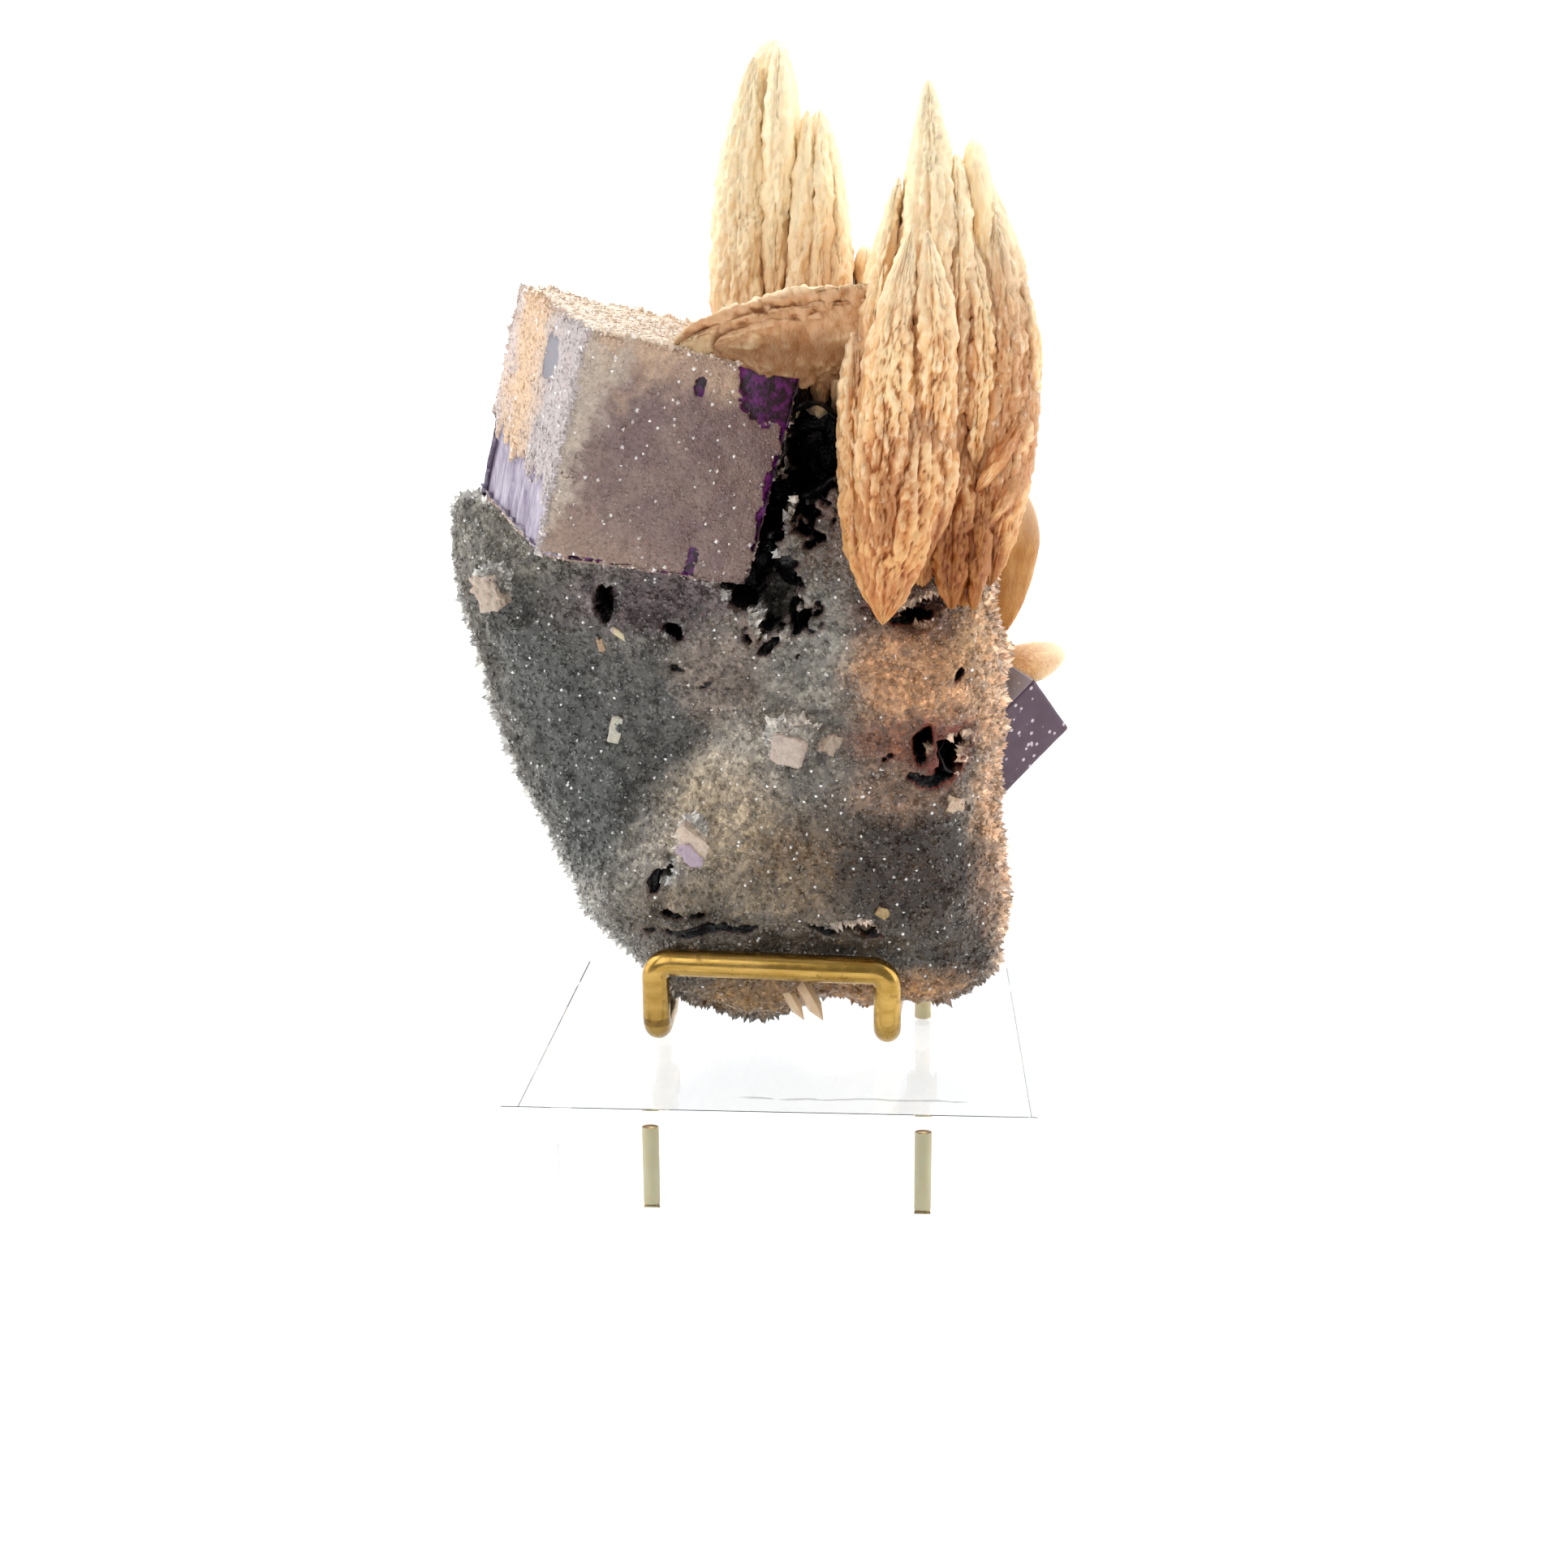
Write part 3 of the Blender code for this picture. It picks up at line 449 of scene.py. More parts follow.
def make_matrix_body():
    body = bpy.data.objects.new("matrix_crust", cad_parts["quartz_matrix"].data.copy())
    bpy.context.scene.collection.objects.link(body)
    remesh(body, MATRIX_VOXEL)
    mesh = body.data
    points = smoothed(get_points(mesh), get_edges(mesh), 3)
    set_points(mesh, points)
    normals = get_normals(mesh)
    wide = smoothed(normals, get_edges(mesh), 12)
    wide /= np.linalg.norm(wide, axis=1)[:, None]
    relief = 0.85 * fractal(points / 4.6, 3, 3)
    relief += 0.50 * (0.5 - np.minimum(cells(points / 2.5, 9)[0], 0.6))
    relief += 0.24 * (0.5 - np.minimum(cells(points / 1.2, 19)[0], 0.5))
    points = points + normals * relief[:, None]
    field, depth = hollow_field(points)
    nearest = np.where(points[:, 2] > 94.0, 9.0, 1.0)
    front = step(0.15, -0.15, normals[:, 1]) * step(2.0, -2.0, points[:, 1] - nearest)
    points[:, 1] += step(-0.05, 0.22, field) * front * depth
    set_points(mesh, keep_inside(points))
    # Where the hollows are painted near black as painted shade: surfaces near the front, and further back above z 90
    reach = np.where(points[:, 2] > 90.0, 9.0, 0.0)
    painted_shade_share = step(5.0, 1.0, points[:, 1] - reach)
    write_value(body, "hollow", np.clip(field, -1.0, 1.0) * painted_shade_share - (1.0 - painted_shade_share))
    # Where the surface is seen edge on: for the painted rim light and the taller rim crystals
    write_value(body, "edge_on", step(-0.75, -0.15, wide[:, 1]) * step(0.75, 0.15, wide[:, 1]))
    write_relief(body, 14, 0.7)
    shade(body, True)
    return body


POINT_RING = 4


def crystal_points(places, normals, radii, heights, lean, seed):
    """Closed four sided points standing on a surface, as one mesh's arrays."""
    rng = np.random.default_rng(seed)
    count = len(places)
    axis = normals + lean * rng.normal(size=(count, 3))
    axis /= np.linalg.norm(axis, axis=1)[:, None]
    side = np.cross(axis, rng.normal(size=(count, 3)))
    side /= np.linalg.norm(side, axis=1)[:, None]
    other = np.cross(axis, side)
    points = np.zeros((count, POINT_RING + 2, 3))
    for index in range(POINT_RING):
        angle = 2.0 * math.pi * index / POINT_RING
        out = side * math.cos(angle) + other * math.sin(angle)
        points[:, index] = places + out * radii[:, None] - axis * (heights * 0.22)[:, None]
    points[:, POINT_RING] = places + axis * heights[:, None]
    points[:, POINT_RING + 1] = places - axis * (heights * 0.8)[:, None]
    faces = []
    for index in range(POINT_RING):
        after = (index + 1) % POINT_RING
        faces.append((index, after, POINT_RING))
        faces.append((after, index, POINT_RING + 1))
    faces = np.array(faces)[None] + (np.arange(count) * (POINT_RING + 2))[:, None, None]
    return points.reshape(-1, 3), faces.reshape(-1, 3)


def scatter(mesh, count, seed, chance):
    """Random places on a mesh by area and chance: places, normals and face numbers."""
    mesh.calc_loop_triangles()
    corners = np.zeros(len(mesh.loop_triangles) * 3, np.int32)
    mesh.loop_triangles.foreach_get("vertices", corners)
    corners = corners.reshape(-1, 3)
    points = get_points(mesh)
    normals = get_normals(mesh)
    a, b, c = (points[corners[:, k]] for k in range(3))
    areas = np.linalg.norm(np.cross(b - a, c - a), axis=1)
    areas = areas * chance(points[corners].mean(1), normals[corners].mean(1), corners)
    rng = np.random.default_rng(seed)
    chosen = rng.choice(len(corners), count, p=areas / areas.sum())
    u = np.sqrt(rng.random(count))
    v = rng.random(count)
    weights = np.stack([1.0 - u, u * (1.0 - v), u * v], 1)
    place = np.einsum("ik,ikj->ij", weights, points[corners[chosen]])
    normal = np.einsum("ik,ikj->ij", weights, normals[corners[chosen]])
    return place, normal / np.linalg.norm(normal, axis=1)[:, None], corners[chosen]


def get_values(mesh, name):
    values = np.zeros(len(mesh.vertices), np.float32)
    mesh.attributes[name].data.foreach_get("value", values)
    return values


DRUSE_COUNT = 29000


def make_druse(body):
    """Fine quartz points all over the matrix, in pieces by where they are."""
    hollow = get_values(body.data, "hollow")
    edge_on = get_values(body.data, "edge_on")

    def chance(points, normals, corners):
        rusty = (points[:, 0] > 16.0) & (points[:, 2] < 76.0)
        open_face = hollow[corners].max(1) < np.where(rusty, -0.16, -0.06)
        smooth = np.hypot((points[:, 0] - 13.0) / 11.0, (points[:, 2] - 22.5) / 3.2) < 1.0
        front = np.where(normals[:, 1] < 0.25, 1.0, 0.32)
        return open_face * np.where(smooth, 0.12, 1.0) * front

    places, normals, faces_at = scatter(body.data, DRUSE_COUNT, 5, chance)
    rim = edge_on[faces_at].mean(1)
    rng = np.random.default_rng(6)
    size = 0.70 + 0.20 * noise(places / 6.0, 71) + 0.60 * rng.random(len(places)) ** 3
    size += rim * (0.20 + 0.70 * rng.random(len(places)) ** 2)
    tone_and_glint = rng.random(len(places))
    # The crystals painted as glints are kept small
    size = np.where(tone_and_glint > 0.955, np.minimum(size, 0.62), size)
    heights = size * (0.20 + 0.24 * rng.random(len(places)) + 0.46 * rim)
    groups = {
        "druse_front_left": (normals[:, 1] < 0.25) & (places[:, 0] < -4.0),
        "druse_front_right": (normals[:, 1] < 0.25) & (places[:, 0] >= -4.0),
        "druse_back": normals[:, 1] >= 0.25,
    }
    made = []
    for name, chosen in groups.items():
        points, faces = crystal_points(places[chosen], normals[chosen], 0.5 * size[chosen],
                                       heights[chosen], 0.28, 8)
        item = make_mesh(name, keep_inside(points), faces)
        write_value(item, "edge_on", np.repeat(rim[chosen], POINT_RING + 2))
        write_value(item, "tone_and_glint", np.repeat(tone_and_glint[chosen], POINT_RING + 2))
        shade(item, False)
        made.append(item)
    return made


def front_surface(body, x, z):
    """The Y of the matrix's front at a place in the X, Z plane."""
    hit = body.ray_cast(Vector((x, -100.0, z)) * MM, Vector((0.0, 1.0, 0.0)))
    return hit[1].y / MM


def lump(centre, edges, turn, seed, cuts=14):
    """A rough edged block standing in the crust, as points and faces."""
    item, flat = box_grid("lump", cuts)
    faces = np.array([list(face.vertices) for face in item.data.polygons])
    bpy.data.objects.remove(item)
    away = flat / np.abs(flat).max(axis=1)[:, None]
    rounded = flat * (1.0 - 0.16 * (np.linalg.norm(away, axis=1) - 1.0)[:, None])
    local = rounded * np.array(edges)
    local += 0.10 * min(edges) * away * fractal(local / 0.9 + seed, seed, 3)[:, None]
    axes = np.array(Euler([math.radians(a) for a in turn]).to_matrix())
    return np.array(centre) + local @ axes.T, faces


def make_lumps(name, body, lumps):
    parts = []
    for seed, ((x, z), edges, turn, _) in enumerate(lumps):
        centre = (x, front_surface(body, x, z) + 0.28 * edges[1], z)
        parts.append(lump(centre, edges, turn, seed))
    points, faces = joined(parts)
    item = make_mesh(name, keep_inside(points), faces)
    shade(item, True)
    return item


def lump_material(name, lumps, gritty):
    paint = Paint(name)
    colour = tint(*lumps[0][3])
    for (x, z), edges, _, shade_of in lumps[1:]:
        near = paint.place((x, 0.0, z), 0.0, (edges[0], 1e6, edges[2]))
        colour = paint.mix(paint.ramp(paint.vector("LENGTH", near, (0.0, 0.0, 0.0)), 1.1, 0.8), colour,
                           tint(*shade_of))
    grain = paint.noise(0.4, 2.0, rough=0.7)
    colour = paint.mix(1.0, colour, paint.mix(grain, (0.72, 0.71, 0.70), (1.2, 1.2, 1.2)), "MULTIPLY")
    paint.feed("Base Color", colour)
    paint.feed("Normal", paint.bump(paint.math("SUBTRACT", 1.0, paint.cells(0.45)), 0.15, gritty))
    paint.set(Roughness=0.4, IOR=1.54, Subsurface_Weight=0.2, Subsurface_Scale=0.001)
    return paint.material


PRISMS = [
    ((1.6, -12.5, 26.6), (4.6, -16.0, 23.0), 1.0),
    ((4.0, -12.5, 27.4), (7.4, -16.5, 23.2), 1.3),
]


def make_prisms():
    """The beige pointed crystals that hang from the matrix's underside."""
    parts = []
    for root, tip, radius in PRISMS:
        root, tip = Vector(root), Vector(tip)
        shoulder = root.lerp(tip, 0.62)
        side = (tip - root).orthogonal().normalized()
        other = (tip - root).normalized().cross(side)
        ring = [side * math.cos(math.pi * k / 3.0) + other * math.sin(math.pi * k / 3.0) for k in range(6)]
        points = [root + out * radius for out in ring] + [shoulder + out * radius * 0.85 for out in ring]
        points += [root, tip]
        faces = []
        for k in range(6):
            after = (k + 1) % 6
            faces += [(k, after, 6 + after), (k, 6 + after, 6 + k), (6 + k, 6 + after, 13), (after, k, 12)]
        parts.append((np.array([list(p) for p in points]), np.array(faces)))
    item = make_mesh("beige_prisms", *joined(parts))
    shade(item, False)
    paint = Paint("beige_quartz")
    paint.feed("Base Color", paint.mix(paint.noise(1.5), tint(196, 164, 124), tint(224, 200, 166)))
    paint.set(Roughness=0.3, IOR=1.54, Subsurface_Weight=0.3, Subsurface_Scale=0.001)
    return item, paint.material


def quartz_material(name, body):
    paint = Paint(name)
    place = paint.warped(6.0, 3.0)
    colour = tint(104, 98, 90)
    for (x, z), (wide, high), turn, soft, shade_of, strength in MATRIX_ZONES:
        local = paint.place((x, 0.0, z), turn, (wide, 1e6, high), place)
        share = paint.ramp(paint.vector("LENGTH", local, (0.0, 0.0, 0.0)), 1.0 + soft, 1.0 - soft,
                           0.0, strength)
        colour = paint.mix(share, colour, tint(*shade_of))
    across = paint.vector("DOT_PRODUCT", paint.mm, (1.0, 0.0, 0.0))
    # Painted rim light: paler where the surface is seen edge on, except near the bottom
    painted_rim_light = paint.mix(paint.ramp(across, -6.0, 22.0), tint(214, 213, 208), tint(224, 194, 166))
    low = paint.ramp(paint.vector("DOT_PRODUCT", paint.mm, (0.0, 0.0, 1.0)), 24.0, 30.0, 0.0, 0.8)
    colour = paint.mix(paint.math("MULTIPLY", paint.value("edge_on"), low), colour, painted_rim_light)
    patches = paint.noise(3.4, 5.0, rough=0.72)
    colour = paint.mix(1.0, colour, paint.mix(paint.ramp(patches, 0.25, 0.75), (0.68, 0.67, 0.67),
                                              (1.34, 1.34, 1.33)), "MULTIPLY")
    clumps = paint.vector("DOT_PRODUCT", paint.cells(1.3, "Color"), (0.33, 0.33, 0.33))
    colour = paint.mix(1.0, colour, paint.mix(paint.ramp(clumps, 0.2, 0.8), (0.72, 0.72, 0.73),
                                              (1.30, 1.30, 1.28)), "MULTIPLY")
    grain = paint.value("tone_and_glint")
    if body:
        grain = paint.vector("DOT_PRODUCT", paint.cells(0.6, "Color"), (0.33, 0.33, 0.33))
    colour = paint.mix(1.0, colour, paint.mix(paint.ramp(grain, 0.1, 0.9), (0.66, 0.66, 0.67),
                                              (1.42, 1.42, 1.42)), "MULTIPLY")
    if body:
        relief = paint.value("relief")
        # Painted shade: darker grey-brown in low places
        colour = paint.mix(paint.ramp(relief, 0.0, -0.9, 0.0, 0.45), colour, tint(58, 50, 44))
        ragged = paint.math("MULTIPLY", paint.math("SUBTRACT", paint.noise(0.9, 3.0, rough=0.7), 0.5), 0.4)
        hollow = paint.math("ADD", paint.value("hollow"), ragged)
        rusty = paint.math("MULTIPLY", paint.ramp(hollow, -0.30, -0.06), paint.ramp(across, 10.0, 16.0, 0.2, 0.9))
        colour = paint.mix(rusty, colour, tint(112, 40, 18))
        # Painted shade: the hollows painted near black
        colour = paint.mix(paint.ramp(hollow, -0.03, 0.04), colour, (0.002, 0.001, 0.0015))
        smooth = paint.place((13.0, 0.0, 22.5), 0.0, (11.0, 1e6, 3.2))
        gritty = paint.ramp(paint.vector("LENGTH", smooth, (0.0, 0.0, 0.0)), 0.8, 1.2, 0.1, 1.0)
        height = paint.math("MULTIPLY", paint.math("SUBTRACT", 1.0, paint.cells(0.42)), gritty)
        paint.feed("Normal", paint.bump(height, 0.18, 0.8))
        paint.set(Roughness=0.42)
    else:
        # Painted glints: the crystals of highest tone made near white
        colour = paint.mix(paint.ramp(grain, 0.95, 0.99, 0.0, 1.0), colour, (0.92, 0.92, 0.90))
        paint.set(Roughness=0.24, Coat_Weight=0.3, Coat_Roughness=0.1)
    paint.feed("Base Color", colour)
    paint.set(IOR=1.54, Specular_IOR_Level=0.5)
    return paint.material


# Baryte blades

SIDEWAYS = (1.0, 0.0, 0.0)
FRONT_BLADES = [
    dict(foot=(15.4, -15.0, 82.6), tip=(20.4, -16.0, 130.0), half_thin=5.4, half_broad=8.2,
         blunt=0.72, seed=40),
    dict(foot=(16.2, -21.6, 87.0), tip=(19.1, -21.4, 132.2), half_thin=3.8, half_broad=4.4,
         bow=(-1.9, -1.2, 0.0), fullest=0.42, seed=4),
    dict(foot=(15.6, -19.6, 81.4), tip=(20.6, -20.6, 114.0), half_thin=5.7, half_broad=5.4,
         bow=(-0.4, -1.2, 0.0), fullest=0.5, blunt=0.85, seed=5),
    dict(foot=(20.9, -17.4, 95.0), tip=(21.0, -21.4, 132.0), half_thin=3.3, half_broad=4.6,
         bow=(1.1, -1.2, 0.0), seed=6),
    dict(foot=(21.4, -18.0, 90.0), tip=(22.8, -18.0, 117.0), half_thin=2.5, half_broad=4.8,
         bow=(0.8, -0.6, 0.0), seed=7),
    dict(foot=(13.9, -14.5, 83.4), tip=(12.6, -13.5, 124.5), half_thin=2.6, half_broad=6.0,
         bow=(-1.6, 0.0, 0.0), blunt=0.7, seed=1),
    dict(foot=(11.6, -12.0, 102.0), tip=(17.4, -11.5, 139.5), half_thin=2.4, half_broad=6.5,
         bow=(-0.4, 0.0, 0.0), blunt=0.7, seed=2),
    dict(foot=(26.4, -8.5, 82.4), tip=(27.0, -9.0, 114.0), half_thin=4.0, half_broad=7.5,
         blunt=0.6, seed=41),
    dict(foot=(25.0, -13.5, 82.6), tip=(25.2, -13.0, 108.0), half_thin=3.1, half_broad=4.8,
         fullest=0.5, blunt=0.6, seed=15),
    dict(foot=(28.0, -12.5, 82.4), tip=(28.7, -12.0, 106.0), half_thin=2.0, half_broad=4.4,
         bow=(0.3, 0.0, 0.0), fullest=0.5, blunt=0.6, seed=16),
]
REAR_BLADES = [
    dict(foot=(21.0, -9.0, 84.0), tip=(21.0, -8.5, 151.8), half_thin=5.4, half_broad=12.6,
         bow=(0.6, 0.0, 0.0), fullest=0.45, blunt=0.74, seed=3),
    dict(foot=(24.4, -9.0, 98.0), tip=(24.8, -9.0, 142.5), half_thin=3.0, half_broad=11.0,
         bow=(0.4, 0.0, 0.0), blunt=0.6, seed=17),
    dict(foot=(30.5, -7.0, 85.0), tip=(28.2, -7.0, 140.5), half_thin=5.2, half_broad=11.2,
         bow=(1.9, 0.0, 0.0), fullest=0.5, blunt=0.7, seed=8),
    dict(foot=(27.6, -13.6, 101.0), tip=(26.0, -13.6, 132.5), half_thin=3.0, half_broad=5.2,
         bow=(1.7, -1.2, 0.0), blunt=0.7, seed=9),
    dict(foot=(31.0, -12.4, 96.0), tip=(29.9, -12.4, 134.5), half_thin=2.4, half_broad=5.2,
         bow=(1.0, -1.0, 0.0), blunt=0.7, seed=10),
    dict(foot=(34.1, -9.5, 98.0), tip=(32.2, -10.0, 131.0), half_thin=2.1, half_broad=5.2,
         bow=(1.4, -0.6, 0.0), blunt=0.7, seed=11),
    dict(foot=(27.8, -15.6, 98.6), tip=(35.4, -12.6, 113.0), half_thin=1.4, half_broad=3.6,
         bow=(0.6, -0.8, -0.6), seed=12),
    dict(foot=(28.4, -13.2, 93.0), tip=(35.0, -11.0, 106.0), half_thin=1.6, half_broad=3.8,
         bow=(0.7, -0.6, -0.7), seed=13),
]
TIP_BLADE = [
    dict(foot=(29.4, -5.0, 112.0), tip=(27.2, -6.0, 144.7), half_thin=2.7, half_broad=9.0,
         fullest=0.55, blunt=0.5, seed=14),
]
FLAT_TURN = (-0.34, 0.746, 0.569)
FLAT_BLADE = [
    dict(foot=(-11.6, -22.0, 118.2), tip=(19.0, -14.0, 123.6), thin=FLAT_TURN,
         half_thin=1.5, half_broad=7.8, bow=(0.9, 3.2, -2.2), fullest=0.5, blunt=0.62, seed=21),
    dict(foot=(-10.9, -22.6, 117.6), tip=(18.6, -14.6, 122.8), thin=FLAT_TURN,
         half_thin=1.3, half_broad=6.5, bow=(0.9, 3.2, -2.2), fullest=0.45, blunt=0.8, seed=24),
    dict(foot=(-6.4, -21.9, 118.0), tip=(18.0, -14.9, 122.4), thin=FLAT_TURN,
         half_thin=1.2, half_broad=4.9, bow=(0.9, 3.2, -2.2), fullest=0.45, blunt=0.85, seed=25),
]
BACK_BLADES = [
    dict(foot=(-3.6, 9.5, 106.0), tip=(-0.3, 10.5, 160.4), half_thin=5.6, half_broad=10.5,
         bow=(-0.6, 0.0, 0.0), fullest=0.55, blunt=0.5, seed=30),
    dict(foot=(5.8, 8.5, 108.0), tip=(6.0, 10.0, 150.8), half_thin=5.0, half_broad=10.5,
         bow=(0.3, 0.0, 0.0), fullest=0.40, blunt=0.62, seed=39),
    dict(foot=(-4.8, 1.5, 106.0), tip=(-2.6, 3.5, 157.0), half_thin=4.0, half_broad=5.0,
         bow=(-1.3, -1.5, 0.0), fullest=0.42, blunt=0.6, seed=31),
    dict(foot=(-0.3, 2.0, 108.0), tip=(0.6, 4.0, 158.5), half_thin=2.4, half_broad=5.4,
         bow=(0.1, -1.5, 0.0), fullest=0.66, blunt=0.55, seed=32),
    dict(foot=(2.8, 1.0, 108.0), tip=(4.6, 4.0, 150.0), half_thin=2.2, half_broad=5.0,
         bow=(0.0, -1.5, 0.0), fullest=0.5, blunt=0.6, seed=33),
    dict(foot=(6.2, 1.0, 108.0), tip=(6.4, 4.0, 149.0), half_thin=2.3, half_broad=5.0,
         bow=(0.2, -1.5, 0.0), fullest=0.42, blunt=0.6, seed=34),
    dict(foot=(9.0, 1.5, 108.0), tip=(8.2, 4.5, 142.0), half_thin=2.2, half_broad=5.0,
         bow=(0.4, -1.2, 0.0), fullest=0.4, blunt=0.6, seed=35),
    dict(foot=(4.6, -1.6, 112.0), tip=(4.2, -0.4, 138.0), half_thin=1.2, half_broad=3.0, seed=36),
    dict(foot=(7.6, -1.6, 112.0), tip=(7.2, -0.4, 135.0), half_thin=1.1, half_broad=3.0, seed=37),
    dict(foot=(12.3, 8.5, 118.0), tip=(12.7, 8.0, 132.2), half_thin=1.8, half_broad=4.0,
         fullest=0.7, blunt=0.5, seed=38),
]
HONEY_BLADE = [
    dict(foot=(31.4, 11.0, 73.2), tip=(34.2, 8.2, 98.0), thin=(0.1, 1.0, 0.1), half_thin=1.9,
         half_broad=5.6, bow=(-0.4, 0.0, 0.0), fullest=0.6, blunt=0.5, seed=22),
]
SMALL_BLADE = [
    dict(foot=(26.0, 6.5, 67.0), tip=(42.6, 6.5, 73.6), thin=(-0.25, -0.45, 0.86), half_thin=1.6,
         half_broad=4.6, bow=(0.0, 0.0, 0.4), fullest=0.6, blunt=0.5, seed=23),
]
ROW_STEP = 0.40
SIDE_STEP = 0.24
FRONT_CROWDING = 1.35
BOXINESS = 0.82
WAVES = 0.05


class Blade:
    """A pointed lens between a foot and a tip: its axes, its swell and its bow."""

    def __init__(self, foot, tip, half_thin, half_broad, thin=SIDEWAYS, bow=(0.0, 0.0, 0.0),
                 fullest=0.45, blunt=0.75, seed=0):
        self.foot, self.tip, self.bow = (np.array(v, float) for v in (foot, tip, bow))
        self.length = np.linalg.norm(self.tip - self.foot)
        self.along = (self.tip - self.foot) / self.length
        thin = np.array(thin, float)
        thin = thin - self.along * thin.dot(self.along)
        self.thin = thin / np.linalg.norm(thin)
        self.broad = np.cross(self.along, self.thin)
        self.half_thin, self.half_broad = half_thin, half_broad
        self.power = math.log(0.5) / math.log(fullest)
        self.blunt = blunt
        self.seed = seed

    def swell(self, share):
        warped = np.clip(share, 1e-4, 1.0 - 1e-4) ** self.power
        return (4.0 * warped * (1.0 - warped)) ** self.blunt

    def centre(self, share):
        bowed = (1.0 - (2.0 * share - 1.0) ** 2)[:, None]
        return self.foot + (self.tip - self.foot) * share[:, None] + self.bow * bowed

    def distance(self, points):
        """About how far outside the smooth lens each point is."""
        share = np.clip((points - self.foot) @ self.along / self.length, 0.001, 0.999)
        away = points - self.centre(share)
        swell = self.swell(share)
        across = (away @ self.thin) / (self.half_thin * swell)
        over = (away @ self.broad) / (self.half_broad * swell)
        beyond = np.abs((points - self.foot) @ self.along - share * self.length)
        return (np.hypot(across, over) - 1.0) * self.half_thin * swell + beyond


def strand_relief(across, over, run, width, seed, rise, groove):
    """Long overlapping flakes: each one domed, at its own level, with a groove round it."""
    stretched = np.stack([across / width, over / (width * 4.0), run / (width * 5.5) + seed], 1)
    first, second, tag = cells(stretched, seed)
    gap = step(0.22, 0.0, second - first)
    return rise * (tag - 0.5) + 0.35 * rise * (0.5 - first) - groove * gap


def blade_mesh(shape, bark):
    """The lens of stacked plates, whose edges make ridges along it."""
    rows = max(24, int(shape.length / ROW_STEP))
    sides = 2 * int(np.clip(shape.half_thin * 5.2 / SIDE_STEP / 2.0, 22, 40))
    spread = (np.arange(sides) + 0.5) / sides * 2.0 - 1.0
    angle = -math.pi / 2.0 + math.pi * np.sign(spread) * np.abs(spread) ** FRONT_CROWDING
    share, angle = (grid.ravel() for grid in
                    np.meshgrid((np.arange(rows) + 1.0) / (rows + 1.0), angle, indexing="ij"))
    swell = shape.swell(share)
    run = share * shape.length
    seed = shape.seed
    across = shape.half_thin * np.sign(np.cos(angle)) * np.abs(np.cos(angle)) ** BOXINESS
    over = shape.half_broad * np.sign(np.sin(angle)) * np.abs(np.sin(angle)) ** BOXINESS
    waves = noise(np.stack([run / 2.6, angle * 0.4, angle * 0.0 + 5.3 * seed], 1), seed + 4)
    over *= 1.0 + WAVES * waves
    place = np.stack([across / 3.0, over / 5.0, run / 9.0 + 3.7 * seed], 1)
    bent = across + 0.7 * noise(place, seed)
    relief = strand_relief(bent, over, run, 2.1, 5 * seed, 0.85, 0.40)
    relief += strand_relief(bent, over, run * 1.3, 1.05, 5 * seed + 1, 0.55, 0.26)
    relief += strand_relief(bent, over, run * 2.0, 0.6, 5 * seed + 2, 0.34, 0.16)
    relief += 0.42 * fractal(np.stack([across / 1.0, over / 1.2, run / 1.3], 1), seed + 3, 3)
    relief *= bark * (0.5 + 0.5 * np.abs(np.sin(angle))) * np.clip(swell, 0.0, 1.0) ** 0.5
    relief *= min(1.0, shape.half_thin / 2.6)
    out = shape.thin * (across * swell)[:, None] + shape.broad * (over * swell)[:, None]
    normal = (shape.thin * (np.cos(angle) / shape.half_thin)[:, None]
              + shape.broad * (np.sin(angle) / shape.half_broad)[:, None])
    normal /= np.linalg.norm(normal, axis=1)[:, None]
    body = shape.centre(share) + out + normal * relief[:, None]
    points = np.concatenate([body, [shape.foot], [shape.tip]])
    share = np.concatenate([share, [0.0, 1.0]])
    index = np.arange(rows * sides).reshape(rows, sides)
    around = np.roll(index, -1, axis=1)
    quads = np.stack([index[:-1], around[:-1], around[1:], index[1:]], -1).reshape(-1, 4)
    low = np.stack([index[0], np.full(sides, rows * sides), around[0]], -1)
    high = np.stack([index[-1], around[-1], np.full(sides, rows * sides + 1)], -1)
    return points, np.concatenate([quads[:, [0, 1, 2]], quads[:, [0, 2, 3]], low, high]), share


def make_blades(name, blades, bark=1.0, neighbours=()):
    """One piece of closed blades, with how near each point is to another blade, for painted shade along the seams."""
    shapes = [Blade(**values) for values in blades]
    others = shapes + [Blade(**values) for values in neighbours]
    parts = []
    shares = []
    seams = []
    for shape in shapes:
        points, faces, share = blade_mesh(shape, bark)
        seam_shade = np.zeros(len(points))
        for other in others:
            if other is not shape:
                seam_shade = np.maximum(seam_shade, step(1.3, 0.1, other.distance(points)))
        parts.append((points, faces))
        shares.append(share)
        seams.append(seam_shade)
    points, faces = joined(parts)
    item = make_mesh(name, keep_inside(points), faces)
    write_relief(item, 10, 0.42)
    write_value(item, "share", np.concatenate(shares))
    write_value(item, "seam_shade", np.concatenate(seams))
    shade(item, True)
    return item


